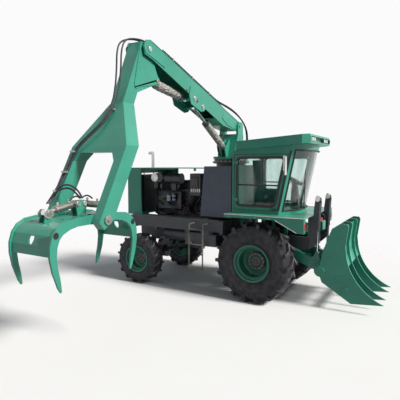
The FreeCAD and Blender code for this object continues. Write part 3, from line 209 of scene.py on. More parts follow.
def plain(name, colour, worn, rough, grain=90.0, depth=0.15):
    f = Finish(name, rough)
    f.colour(f.mix(f.spread(f.noise(8.0, 5), 0.35, 0.7), colour, worn))
    f.rough(f.spread(f.noise(14.0), 0.3, 0.7, rough - 0.08, rough + 0.1))
    f.bump(f.noise(grain, 3), depth, 0.001)
    return f.material


def wrapped(name):
    """Creased packing film round a cylinder barrel, with painted shade darkening its low creases."""
    f = Finish(name, 0.42)
    creases = f.noise(26.0, 6, (1, 0.55, 1.6))
    # painted shade: the film is darker where the crease bump is low, paler where it is high
    f.colour(f.mix(f.spread(creases, 0.36, 0.62), (0.16, 0.15, 0.135), (0.56, 0.54, 0.50)))
    f.bump(creases, 0.9, 0.02)
    return f.material


def glazing(name, tint, streaks):
    f = Finish(name, 0.04)
    f.socket("Transmission Weight", 1.0)
    f.socket("IOR", 1.45)
    f.colour(f.mix(f.spread(f.noise(2.6, 4, (1.3, 1.3, 0.22)), 0.42, 0.62), tint, streaks))
    f.rough(f.spread(f.noise(5.0, 5, (1.5, 1.5, 0.3)), 0.4, 0.75, 0.02, 0.16))
    return f.material


DUST = (0.20, 0.185, 0.15)
GREEN = painted("green_paint", (0.036, 0.335, 0.228), (0.030, 0.270, 0.186), DUST, 0.36, 0.22)
RIM_GREEN = painted("rim_green", (0.022, 0.21, 0.13), (0.018, 0.15, 0.10), DUST, 0.5, 0.35)
CHARCOAL = painted("charcoal_paint", (0.072, 0.090, 0.130), (0.060, 0.075, 0.108), DUST, 0.5, 0.3)
BLACK = painted("black_paint", (0.042, 0.048, 0.060), (0.050, 0.055, 0.066), DUST, 0.48, 0.3)
ENGINE = painted("engine_black", (0.020, 0.024, 0.032), (0.034, 0.038, 0.046), DUST, 0.42, 0.18)
GASKET = plain("black_gasket", (0.006, 0.006, 0.007), (0.012, 0.012, 0.013), 0.5)
HOSE = plain("hose_rubber", (0.012, 0.015, 0.022), (0.022, 0.026, 0.036), 0.45, 200.0)
TRIM = plain("trim_plastic", (0.015, 0.016, 0.017), (0.025, 0.026, 0.028), 0.6)
SEAT = plain("seat_fabric", (0.022, 0.060, 0.070), (0.014, 0.040, 0.048), 0.85, 400.0, 0.4)
WRAP = wrapped("packing_film")
CHROME = metal("rod_chrome", (0.80, 0.80, 0.81), (0.66, 0.66, 0.68), 0.14)
BRONZE = metal("jaw_barrel_metal", (0.36, 0.33, 0.29), (0.24, 0.22, 0.20), 0.42)
ZINC = metal("zinc_plate", (0.62, 0.61, 0.58), (0.44, 0.43, 0.41), 0.38)
STEEL = metal("worn_steel", (0.45, 0.43, 0.41), (0.28, 0.25, 0.22), 0.4)
COPPER = metal("copper_bolt", (0.34, 0.19, 0.12), (0.20, 0.12, 0.08), 0.45)
WORN_RAIL = painted("worn_rail", (0.060, 0.062, 0.060), (0.30, 0.28, 0.23), DUST, 0.45, 0.5)
WHITE = plain("white_enamel", (0.72, 0.73, 0.72), (0.60, 0.61, 0.60), 0.35)
RED = plain("red_reflector", (0.75, 0.035, 0.045), (0.60, 0.025, 0.03), 0.25)
RED_CAP = plain("red_cap", (0.26, 0.020, 0.022), (0.16, 0.014, 0.016), 0.4)
BLUE = plain("blue_enamel", (0.03, 0.12, 0.40), (0.02, 0.09, 0.30), 0.4)
GLASS = glazing("cab_glass", (0.80, 0.90, 0.87), (0.60, 0.74, 0.70))
LENS = glazing("lamp_glass", (0.95, 0.96, 0.94), (0.90, 0.92, 0.90))

WHEELS = [
    # name, centre, tyre radius
    ("front_right", spot(0, -925, 800), 0.800), ("front_left", spot(0, 925, 800), 0.800),
    ("rear_right", spot(-WHEELBASE, -993, 570), 0.570),
    ("rear_left", spot(-WHEELBASE, 993, 570), 0.570)]
RUBBER = {name: tyre_rubber("tyre_rubber_" + name, centre, radius)
          for name, centre, radius in WHEELS}

CAD_FINISHES = [
    (GREEN, "deck engine_cover radiator_housing cab_shell cab_door cab_roof crane_column boom "
            "stick_fork grapple_cross jaw_outer jaw_inner rake_arms rake"),
    (RIM_GREEN, "rim_front_right rim_front_left rim_rear_right rim_rear_left"),
    (CHARCOAL, "tank_housing"),
    (BLACK, "chassis_frame front_axle rear_axle knuckle_right knuckle_left tow_hitch step_box "
            "slew_base rear_grille front_tower"),
    (WORN_RAIL, "access_ladder"),
    (ENGINE, "engine radiator air_cleaner"),
    (WRAP, "boom_cylinder_barrel stick_cylinder_barrel"),
    (BRONZE, "outer_jaw_cylinder_barrel inner_jaw_cylinder_barrel"),
    (BLACK, "rake_lift_barrel"),
    (CHROME, "boom_cylinder_rod stick_cylinder_rod outer_jaw_cylinder_rod "
             "inner_jaw_cylinder_rod rake_lift_rod"),
    (ZINC, "exhaust"),
    (WHITE, "mirror"),
    (GLASS, "cab_glass door_glass"),
    (LENS, "roof_lamps"),
    (SEAT, "seat"),
    (TRIM, "steering_column"),
]


def cover(node, finish):
    mesh = nodes[node].data
    mesh.materials.clear()
    mesh.materials.append(finish)


for finish, names in CAD_FINISHES:
    for name in names.split():
        cover(name, finish)
for name in RUBBER:
    cover("tyre_" + name, RUBBER[name])


# Making pieces

def piece(name, bm, finish, body, bevel=0.0):
    """A finished bmesh as a piece that rides on a body."""
    bmesh.ops.remove_doubles(bm, verts=bm.verts, dist=1e-6)
    bmesh.ops.recalc_face_normals(bm, faces=bm.faces)
    mesh = bpy.data.meshes.new(name)
    bm.to_mesh(mesh)
    bm.free()
    mesh.materials.append(finish)
    mesh.shade_smooth()
    mesh.set_sharp_from_angle(angle=EDGE)
    made = bpy.data.objects.new(name, mesh)
    bpy.context.scene.collection.objects.link(made)
    if bevel:
        rounding = made.modifiers.new("rounding", "BEVEL")
        rounding.width = bevel
        rounding.segments = 2
        rounding.limit_method = "ANGLE"
    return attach(made, body)


def add_block(bm, low, high):
    """A block between two corners in mm."""
    a, b = spot(*low), spot(*high)
    matrix = Matrix.Translation((a + b) / 2) @ Matrix.Diagonal((*(b - a), 1.0))
    bmesh.ops.create_cube(bm, size=1.0, matrix=matrix)


def add_round(bm, start, end, radius, end_radius=None, sides=24):
    """A round bar or cone between two places in metres."""
    run = end - start
    matrix = Matrix.Translation((start + end) / 2) @ run.to_track_quat("Z", "Y").to_matrix().to_4x4()
    bmesh.ops.create_cone(bm, cap_ends=True, segments=sides, radius1=radius,
                          radius2=radius if end_radius is None else end_radius,
                          depth=run.length, matrix=matrix)


def add_bolt(bm, place, along, radius, height):
    add_round(bm, place, place + along * height, radius, sides=6)


def add_plate(bm, corners, thickness, rounding=0.0):
    """A flat plate from its corners in metres, raised by a thickness vector."""
    face = bm.faces.new([bm.verts.new(c) for c in corners])
    if rounding:
        middle = sum(corners, Vector()) / len(corners)
        bmesh.ops.bevel(bm, geom=list(face.verts), offset=rounding, segments=5, profile=0.5,
                        affect="VERTICES", material=-1)
        face = min(bm.faces, key=lambda f: (f.calc_center_median() - middle).length)
    made = bmesh.ops.extrude_face_region(bm, geom=[face])
    raised = [v for v in made["geom"] if isinstance(v, bmesh.types.BMVert)]
    bmesh.ops.translate(bm, vec=thickness, verts=raised)


def tube(name, points, radius, finish, body):
    """A hose or pipe along a smooth line through a few control points in metres."""
    line = bpy.data.curves.new(name, "CURVE")
    line.dimensions = "3D"
    line.resolution_u = 8
    line.bevel_depth = radius
    line.bevel_resolution = 3
    line.use_fill_caps = True
    spline = line.splines.new("NURBS")
    spline.points.add(len(points) - 1)
    for point, place in zip(spline.points, points):
        point.co = (*place, 1)
    spline.order_u = 3
    spline.use_endpoint_u = True
    line.materials.append(finish)
    made = bpy.data.objects.new(name, line)
    bpy.context.scene.collection.objects.link(made)
    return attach(made, body)


# Cab

SILL_LEAN = 0.1978


def screen_lean(z):
    """How far forward the cab's front corner stands at a height."""
    return 430 + SILL_LEAN * (z - 1765)


def window_frame(name, corners, rounding, width, outward, finish, body):
    """A rubber frame round an opening: corners in metres, standing out by a vector."""
    bm = bmesh.new()
    face = bm.faces.new([bm.verts.new(c) for c in corners])
    bmesh.ops.bevel(bm, geom=list(face.verts), offset=rounding, segments=7, profile=0.5,
                    affect="VERTICES", material=-1)
    outer = max(bm.faces, key=lambda f: f.calc_area())
    bmesh.ops.delete(bm, geom=[f for f in bm.faces if f is not outer], context="FACES")
    ring = bmesh.ops.inset_region(bm, faces=[outer], thickness=width, use_even_offset=True,
                                  use_boundary=True)["faces"]
    bmesh.ops.delete(bm, geom=[outer], context="FACES_ONLY")
    raised = bmesh.ops.extrude_face_region(bm, geom=ring)["geom"]
    bmesh.ops.translate(bm, vec=outward, verts=[v for v in raised
                                                if isinstance(v, bmesh.types.BMVert)])
    return piece(name, bm, finish, body, bevel=0.003)


def grown(corners, amount):
    """Corners of an opening in the cab's side moved outwards by an amount in mm."""
    x0 = min(c[0] for c in corners)
    z0 = min(c[1] for c in corners)
    return [(x + (-amount if x == x0 else amount), z + (-amount if z == z0 else amount))
            for x, z in corners]


SIDE_WINDOW = [(-470, 1915), (354.7, 1915), (551.5, 2910), (-470, 2910)]


def make_cab_trim():
    for side, name, body in ((-1, "door", "door"), (1, "left", "chassis")):
        window = SIDE_WINDOW if side < 0 else grown(SIDE_WINDOW, 18)
        y = side * 851
        window_frame("window_rubber_" + name, [spot(x, y, z) for x, z in grown(window, 16)],
                     0.105, 0.048, Vector((0, side * 0.012, 0)), GASKET, body)
        bm = bmesh.new()
        front = 354 + SILL_LEAN * (2345 - 1915)
        add_block(bm, (-480, side * 837 if side < 0 else 829, 2332),
                  (front + 8, side * 829 if side < 0 else 846, 2362))
        add_block(bm, (70, side * 842 if side < 0 else 832, 2350),
                  (92, side * 832 if side < 0 else 842, 2915))
        piece("window_bars_" + name, bm, GASKET, body, bevel=0.003)
    # door seal line and handle
    door = [(-527, 1832), (404, 1832), (634, 2974), (-527, 2974)]
    window_frame("door_seal", [spot(x, -850.6, z) for x, z in door], 0.03, 0.010,
                 Vector((0, -0.005, 0)), GASKET, "door")
    bm = bmesh.new()
    add_block(bm, (318, -874, 1852), (392, -851, 1892))
    add_block(bm, (262, -889, 1862), (380, -874, 1880))
    piece("door_handle", bm, TRIM, "door", bevel=0.004)
    # windscreen rubber, up both sides and along the bowed edges
    for side in (-1, 1):
        low_x, high_x = screen_lean(1850) + 46, screen_lean(3040) + 46
        tube("screen_rubber_%s" % ("right" if side < 0 else "left"),
             [spot(low_x, side * 777, 1838), spot(low_x + 2, side * 777, 1860),
              spot((low_x + high_x) / 2 + 2, side * 777, 2445), spot(high_x + 2, side * 777, 3036)],
             0.017, GASKET, "chassis")
    for name, z in (("low", 1850), ("high", 3037)):
        lean = screen_lean(z)
        tube("screen_rubber_" + name,
             [spot(lean + out, y, z) for out, y in
              ((47, -777), (142, -590), (222, -390), (256, -150), (256, 150), (222, 390),
               (142, 590), (47, 777))], 0.017, GASKET, "chassis")
    bm = bmesh.new()
    root, tip = spot(screen_lean(1850) + 268, -60, 1862), spot(screen_lean(2440) + 246, -330, 2440)
    add_round(bm, root, tip, 0.009, 0.006, 10)
    add_round(bm, root + Vector((-0.03, 0, 0)), root + Vector((0.02, 0, 0)), 0.022)
    add_round(bm, spot(screen_lean(2200) + 250, -300, 2200), spot(screen_lean(2680) + 222, -410, 2680),
              0.008, sides=8)
    piece("wiper", bm, TRIM, "chassis")
    # corner posts, black over the paint as far as the side window
    for side in (-1, 1):
        low, high = 1850, 3030
        bm = bmesh.new()
        corners = [(screen_lean(low) - 40, low), (screen_lean(low) + 2, low),
                   (screen_lean(high) + 2, high), (screen_lean(high) - 40, high)]
        add_plate(bm, [spot(x, side * 850.5, z) for x, z in corners], Vector((0, side * 0.004, 0)))
        piece("corner_post_%s" % ("right" if side < 0 else "left"), bm, GASKET, "chassis")


def make_mirror():
    bm = bmesh.new()
    add_block(bm, (548, -988, 2640), (571, -868, 2930))
    piece("mirror_head", bm, WHITE, "chassis", bevel=0.010)
    tube("mirror_arm", [spot(581, -852, 2560), spot(581, -905, 2560), spot(581, -928, 2590),
                        spot(581, -928, 2680)], 0.009, BLACK, "chassis")


def make_roof_trim():
    bm = bmesh.new()
    for y in (-640, -520, -400, 400, 520, 640):
        add_block(bm, (996.5, y - 42, 3224), (1002.5, y + 42, 3290))
    piece("lamp_faces", bm, WHITE, "chassis", bevel=0.008)
    bm = bmesh.new()
    for y0, y1 in ((-705, -335), (335, 705)):
        add_block(bm, (941, y0, 3203), (944, y1, 3303))
    piece("lamp_backs", bm, GASKET, "chassis")


# Crane

def side_plate(name, corners, x0, x1, finish, body, rounding=0.0, bevel=0.003):
    """A plate that stands across the crane, from (out, up) corners in mm."""
    bm = bmesh.new()
    add_plate(bm, [on_crane(x0, out, up) for out, up in corners],
              Vector(((x1 - x0) / 1000, 0, 0)), rounding)
    return piece(name, bm, finish, body, bevel=bevel)


def weld(name, runs, radius, body):
    """Weld beads along straight edges, (side, out, up) pairs in mm."""
    bm = bmesh.new()
    for a, b in runs:
        add_round(bm, on_crane(*a), on_crane(*b), radius / 1000, sides=8)
    return piece(name, bm, GREEN, body)


def make_boom_trim():
    for side in (-1, 1):
        tag = "right" if side > 0 else "left"
        x0, x1 = (176, 185) if side > 0 else (-185, -176)
        side_plate("boom_tip_plate_" + tag,
                   [(3505, 4470), (3545, 4560), (3480, 4655), (3380, 4672), (3215, 4585),
                    (3010, 4400), (2955, 4340), (3060, 4365), (3290, 4425)],
                   x0, x1, GREEN, "boom", 0.03, 0.004)
        side_plate("boom_foot_plate_" + tag,
                   [(-80, 3560), (110, 3535), (560, 3600), (820, 3720), (760, 3820), (420, 3780),
                    (60, 3715), (-80, 3680)], x0, x1, GREEN, "boom", 0.04, 0.004)
    bm = bmesh.new()
    for side in (-1, 1):
        for out, up in ((2283, 4080), (1914, 3945)):
            add_bolt(bm, on_crane(side * 191, out, up), Vector((side, 0, 0)), 0.026, 0.016)
    piece("boom_bolts", bm, COPPER, "boom")
    bm = bmesh.new()
    for side in (-1, 1):
        for out, up in ((1700, 3860), (2010, 3975)):
            add_round(bm, on_crane(side * 191, out, up), on_crane(side * 203, out, up), 0.046)
            add_bolt(bm, on_crane(side * 203, out, up), Vector((side, 0, 0)), 0.018, 0.010)
        add_round(bm, on_crane(side * 190, 3400, 4548), on_crane(side * 199, 3400, 4548), 0.040)
        add_bolt(bm, on_crane(side * 198, 3400, 4548), Vector((side, 0, 0)), 0.02, 0.012)
    piece("boom_pin_caps", bm, ZINC, "boom", bevel=0.002)
    weld("boom_welds", [((s * 176, a, b), (s * 176, c, d)) for s in (-1, 1)
                        for a, b, c, d in ((60, 3728, 900, 3984), (900, 3984, 3300, 4672),
                                           (780, 3586, 1120, 3696))], 6, "boom")
    bm = bmesh.new()
    for out, up in ((2700, 4512), (2050, 4326), (1400, 4140)):
        add_block(bm, (CRANE_X + 100, -out - 20, up + 2), (CRANE_X + 172, -out + 20, up + 12))
        add_round(bm, on_crane(104, out, up), on_crane(104, out, up + 46), 0.006, sides=8)
        add_round(bm, on_crane(168, out, up), on_crane(168, out, up + 46), 0.006, sides=8)
        add_round(bm, on_crane(104, out, up + 44), on_crane(168, out, up + 44), 0.006, sides=8)
    piece("boom_hose_clips", bm, STEEL, "boom")


def hose_over_joint(name, places, radius, a):
    """A hose across a joint, made as a mesh from its smooth line."""
    line = tube(name + "_line", places, radius, HOSE, a)
    bpy.context.view_layer.update()
    mesh = bpy.data.meshes.new_from_object(line)
    bpy.data.objects.remove(line)
    mesh.materials.clear()
    mesh.materials.append(HOSE)
    mesh.shade_smooth()
    made = bpy.data.objects.new(name, mesh)
    bpy.context.scene.collection.objects.link(made)
    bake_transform(made)
    return made


def make_hoses():
    for i, (side, lift) in enumerate(((122, 0), (150, 4))):
        hose_over_joint(
            "boom_hose_%d" % (i + 1),
            [on_crane(side, 3000, 4620 + lift), on_crane(side, 2700, 4540 + lift),
             on_crane(side, 2050, 4352 + lift), on_crane(side, 1400, 4166 + lift),
             on_crane(side, 1000, 4052 + lift), on_crane(side + 8, 600, 4010 + lift),
             on_crane(side + 20, 150, 3925 + lift), on_crane(side + 30, -250, 3790 - i * 30),
             on_crane(side + 50, -430, 3620 - i * 34), on_crane(side + 60, -480, 3420 - i * 20),
             on_crane(side + 60, -450, 3220), on_crane(side + 50, -250, 3120)],
            0.014, "column")
    # over the tip and down the stick's outer face
    for i, (side, lift) in enumerate(((18, 0), (-26, 46))):
        hose_over_joint(
            "tip_hose_%d" % (i + 1),
            [on_crane(side + 60, 3120, 4640), on_crane(side + 40, 3330, 4700 - lift * 0.2),
             on_crane(side, 3560, 4692), on_crane(side, 3800 + lift, 4620 - lift * 0.5),
             on_crane(side, 3890 + lift, 4440), on_crane(side, 3900 + lift, 4150),
             on_crane(side, 3960 + lift * 0.6, 3850), on_crane(side, 4030 + lift * 0.4, 3660)],
            0.013, "boom")
        tube("leg_hose_%d" % (i + 1),
             [on_crane(side, 4030 + lift * 0.4, 3660), on_crane(side - 10, 4140 + lift * 0.3, 3450),
              on_crane(side - 150, 4330, 3230), on_crane(side - 330, 4445, 3030),
              on_crane(side - 400, 4500, 2850), on_crane(side - 415, 4700, 2520),
              on_crane(side - 432, 4850, 2310), on_crane(side - 432, 4930, 2230)],
             0.012, HOSE, "stick")
    bm = bmesh.new()
    for out, up in ((4056, 3560), (4470, 2950), (4640, 2660), (4800, 2400)):
        side = -12 if up > 3300 else -402
        add_block(bm, (CRANE_X + side - 48, -out - 30, up - 12), (CRANE_X + side + 48, -out + 12, up + 12))
    piece("stick_hose_clips", bm, STEEL, "stick")
    # hoses from the far leg across to the grapple's cylinders
    for i, (reach, rise) in enumerate(((0, 0), (34, 46))):
        hose_over_joint(
            "grapple_hose_%d" % (i + 1),
            [on_crane(-420, 4890 - reach, 2300), on_crane(-360, 4850 - reach, 2400 + rise),
             on_crane(-220, 4800, 2450 + rise), on_crane(-110, 4790, 2430 + rise),
             on_crane(-20 + reach, 4790, 2360 + rise), on_crane(30 + reach, 4780, 2316)],
            0.013, "stick")
    for i, (out, way, body) in enumerate(((4850, 1, "outer_barrel"), (4730, -1, "inner_barrel"))):
        tube("barrel_hose_%d" % (i + 1),
             [on_crane(44, 4790 + way * 18, 2318), on_crane(50, out, 2350),
              on_crane(54, out + way * 90, 2345), on_crane(46, out + way * 150, 2300)],
             0.011, HOSE, body)
    # slack loop beside the column
    for i, wide in enumerate((0, 36)):
        tube("column_loop_%d" % (i + 1),
             [on_crane(-112, 250, 3420), on_crane(-112, 330 + wide, 3430),
              on_crane(-112, 430 + wide, 3330), on_crane(-112, 440 + wide, 3160),
              on_crane(-112, 380 + wide, 3010), on_crane(-112, 300, 2960),
              on_crane(-112, 262, 2950)], 0.012, HOSE, "column")


def make_stick_trim():
    for side in (-1, 1):
        tag = "right" if side > 0 else "left"
        x0, x1 = (119, 127) if side > 0 else (-127, -119)
        side_plate("stick_top_plate_" + tag,
                   [(3300, 4585), (3480, 4630), (3570, 4560), (3640, 4280), (3720, 3960), (3690, 3900),
                    (3560, 3960), (3390, 3990), (3130, 4050), (3070, 4110), (3090, 4160),
                    (3220, 4390)], x0, x1, GREEN, "stick", 0.04, 0.003)
    bm = bmesh.new()
    for side in (-1, 1):
        add_round(bm, on_crane(side * 127, 3105, 4105), on_crane(side * 139, 3105, 4105), 0.040)
        add_bolt(bm, on_crane(side * 139, 3105, 4105), Vector((side, 0, 0)), 0.016, 0.010)
        add_round(bm, on_crane(side * 506, 4790, 2056), on_crane(side * 528, 4790, 2056), 0.062)
        add_bolt(bm, on_crane(side * 528, 4790, 2056), Vector((side, 0, 0)), 0.026, 0.014)
        add_round(bm, on_crane(side * 528, 4790, 2056), on_crane(side * 531, 4790, 2056), 0.040)
    piece("stick_pin_caps", bm, STEEL, "stick", bevel=0.003)


def make_cylinder_trim():
    """Film round two barrels, glands and ports."""
    lines = [
        # name, foot, eye, barrel length, barrel radius, body
        ("boom", (395, 3135), (1700, 3860), 960, 62, "boom_barrel"),
        ("stick", (3105, 4105), (2010, 3975), 860, 68, "stick_barrel")]
    for name, foot, eye, length, radius, body in lines:
        a, b = on_crane(0, *foot), on_crane(0, *eye)
        along = (b - a).normalized()
        bm = bmesh.new()
        start, stop = a + along * 0.115, a + along * (length / 1000 - 0.03)
        add_round(bm, start, stop, radius / 1000 + 0.008, sides=30)
        long_edges = [e for e in bm.edges
                      if abs((e.verts[0].co - e.verts[1].co).normalized().dot(along)) > 0.9]
        bmesh.ops.subdivide_edges(bm, edges=long_edges, cuts=46, use_grid_fill=True)
        for v in bm.verts:
            away = v.co - a
            run = away.dot(along)
            out = away - along * run
            if out.length > 0.01:
                ripple = math.sin(run * 150 + math.atan2(out.x, out.z) * 2) * 0.003
                rough = random.uniform(-0.0045, 0.006)
                v.co += out.normalized() * (ripple + rough)
        piece(name + "_barrel_film", bm, WRAP, body)
        bm = bmesh.new()
        add_round(bm, a + along * (length / 1000 - 0.035), a + along * (length / 1000 + 0.012),
                  radius / 1000 + 0.012)
        add_round(bm, a + along * (length / 1000 + 0.012), a + along * (length / 1000 + 0.03),
                  radius / 1000 - 0.014)
        piece(name + "_barrel_gland", bm, BLACK, body, bevel=0.003)
    for side, name, body in ((1, "outer", "outer_barrel"), (-1, "inner", "inner_barrel")):
        a = on_crane(0, GRAPPLE_OUT + side * 60, 2246)
        b = on_jaw(side, 0, 560, 70)
        along = (b - a).normalized()
        bm = bmesh.new()
        add_round(bm, a + along * 0.315, a + along * 0.352, 0.052)
        add_round(bm, a + along * 0.352, a + along * 0.362, 0.036)
        piece(name + "_jaw_gland", bm, STEEL, body, bevel=0.002)
        bm = bmesh.new()
        add_round(bm, a + along * 0.105 + Vector((0, 0, 0.03)), a + along * 0.105 + Vector((0, 0, 0.085)),
                  0.016, sides=12)
        add_round(bm, a + along * 0.30 + Vector((0, 0, 0.03)), a + along * 0.30 + Vector((0, 0, 0.085)),
                  0.016, sides=12)
        piece(name + "_jaw_ports", bm, ZINC, body)


def prism(bm, face, run):
    """A closed prism from the corners of one end and the way to the other end."""
    bottom = bm.faces.new([bm.verts.new(c) for c in face])
    made = bmesh.ops.extrude_face_region(bm, geom=[bottom], use_keep_orig=True)
    bmesh.ops.translate(bm, vec=run, verts=[v for v in made["geom"] if isinstance(v, bmesh.types.BMVert)])


def make_jaws():
    """The jaws as the CAD has them, with lightening holes cut through their webs."""
    for side, name, body in ((1, "outer", "outer_jaw"), (-1, "inner", "inner_jaw")):
        at = partial(on_jaw, side)
        bm = bmesh.new()
        for across in (-150, 150):
            for out in (345, 455):
                prism(bm, [at(across - 26, out - 24, -90), at(across - 14, out - 38, -90),
                           at(across + 14, out - 38, -90), at(across + 26, out - 24, -90),
                           at(across + 26, out + 24, -90), at(across + 14, out + 38, -90),
                           at(across - 14, out + 38, -90), at(across - 26, out + 24, -90)],
                      at(0, 0, 60) - at(0, 0, -90))
        prism(bm, [at(-40, 670, -196), at(-44, 670, -240), at(-26, 670, -286), at(0, 670, -306),
                   at(26, 670, -286), at(44, 670, -240), at(40, 670, -196)],
              at(0, 830, 0) - at(0, 670, 0))
        bmesh.ops.recalc_face_normals(bm, faces=bm.faces)
        holes = bpy.data.meshes.new(name + "_web_holes")
        bm.to_mesh(holes)
        bm.free()
        cutter = bpy.data.objects.new(name + "_web_holes", holes)
        bpy.context.scene.collection.objects.link(cutter)

        bm = bmesh.new()
        bm.from_mesh(nodes["jaw_" + name].data)
        bmesh.ops.remove_doubles(bm, verts=bm.verts, dist=1e-5)
        mesh = bpy.data.meshes.new(name + "_jaw_plates")
        bm.to_mesh(mesh)
        bm.free()
        plates = bpy.data.objects.new(name + "_jaw_plates", mesh)
        bpy.context.scene.collection.objects.link(plates)
        cutting = plates.modifiers.new("web_holes", "BOOLEAN")
        cutting.operation = "DIFFERENCE"
        cutting.solver = "EXACT"
        cutting.object = cutter
        bpy.context.view_layer.update()
        shaped = plates.evaluated_get(bpy.context.evaluated_depsgraph_get())
        plates.data = bpy.data.meshes.new_from_object(shaped)
        plates.modifiers.clear()
        bpy.data.objects.remove(cutter)
        plates.data.materials.clear()
        plates.data.materials.append(GREEN)
        plates.data.shade_smooth()
        plates.data.set_sharp_from_angle(angle=math.radians(14))
        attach(plates, body)
        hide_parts("jaw_" + name)


def make_grapple_trim():
    """Rings on the jaws' edges, the flags that hold the rods, and pin caps."""
    for side, name, body in ((1, "outer", "outer_jaw"), (-1, "inner", "inner_jaw")):
        at = partial(on_jaw, side)
        bm = bmesh.new()
        edge = 368 if side > 0 else 336
        for across in (-edge, edge):
            way = math.copysign(1, across)
            add_round(bm, at(across, 715, -170), at(across + way * 6, 715, -170), 0.040, sides=28)
        piece(name + "_jaw_rings", bm, GASKET, body, bevel=0.002)
        bm = bmesh.new()
        for across in (-57, 57):
            face = [at(across, 500, 118), at(across, 620, 118), at(across, 640, 40), at(across, 560, -12),
                    at(across, 480, 40)]
            add_plate(bm, face, Vector((math.copysign(0.010, across), 0, 0)), 0.03)
        piece(name + "_jaw_flags", bm, ZINC, body, bevel=0.003)
        bm = bmesh.new()
        for across in (-67, 67):
            add_round(bm, at(across, 560, 70), at(across + math.copysign(10, across), 560, 70), 0.034)
        piece(name + "_jaw_pin_caps", bm, STEEL, body, bevel=0.003)
    bm = bmesh.new()
    for across in (-56, 56):
        for out in (-60, 60):
            add_round(bm, on_crane(across, 4790 + out, 2246),
                      on_crane(across + math.copysign(12, across), 4790 + out, 2246), 0.036)
    piece("tower_pin_caps", bm, ZINC, "grapple", bevel=0.003)


def make_column_trim():
    bm = bmesh.new()
    count = 24
    for i in range(count):
        turn = math.radians(360 / count * i)
        place = spot(CRANE_X + 380 * math.cos(turn), 380 * math.sin(turn), 2921)
        add_bolt(bm, place, Vector((0, 0, 1)), 0.018, 0.022)
    piece("slew_bolts", bm, BLACK, "column")
    bm = bmesh.new()
    add_round(bm, spot(CRANE_X, 0, 2796), spot(CRANE_X, 0, 2828), 0.418, sides=72)
    piece("slew_ring", bm, BLACK, "chassis", bevel=0.004)
    bm = bmesh.new()
    for i in range(count):
        turn = math.radians(360 / count * (i + 0.5))
        place = spot(CRANE_X + 400 * math.cos(turn), 400 * math.sin(turn), 2828)
        add_bolt(bm, place, Vector((0, 0, 1)), 0.012, 0.016)
    piece("slew_ring_bolts", bm, STEEL, "chassis")


# Body and engine

def make_tank_trim():
    bm = bmesh.new()
    for side in (-1, 1):
        y = side * 851
        for x in (-1190, -960, -730):
            for z in (1690, 2180, 2670):
                add_bolt(bm, spot(x, y, z), Vector((0, side, 0)), 0.010, 0.006)
        add_block(bm, (-1300, y - 1.5, 2178), (-592, y + 1.5, 2182))
    piece("tank_bolts", bm, CHARCOAL, "chassis")


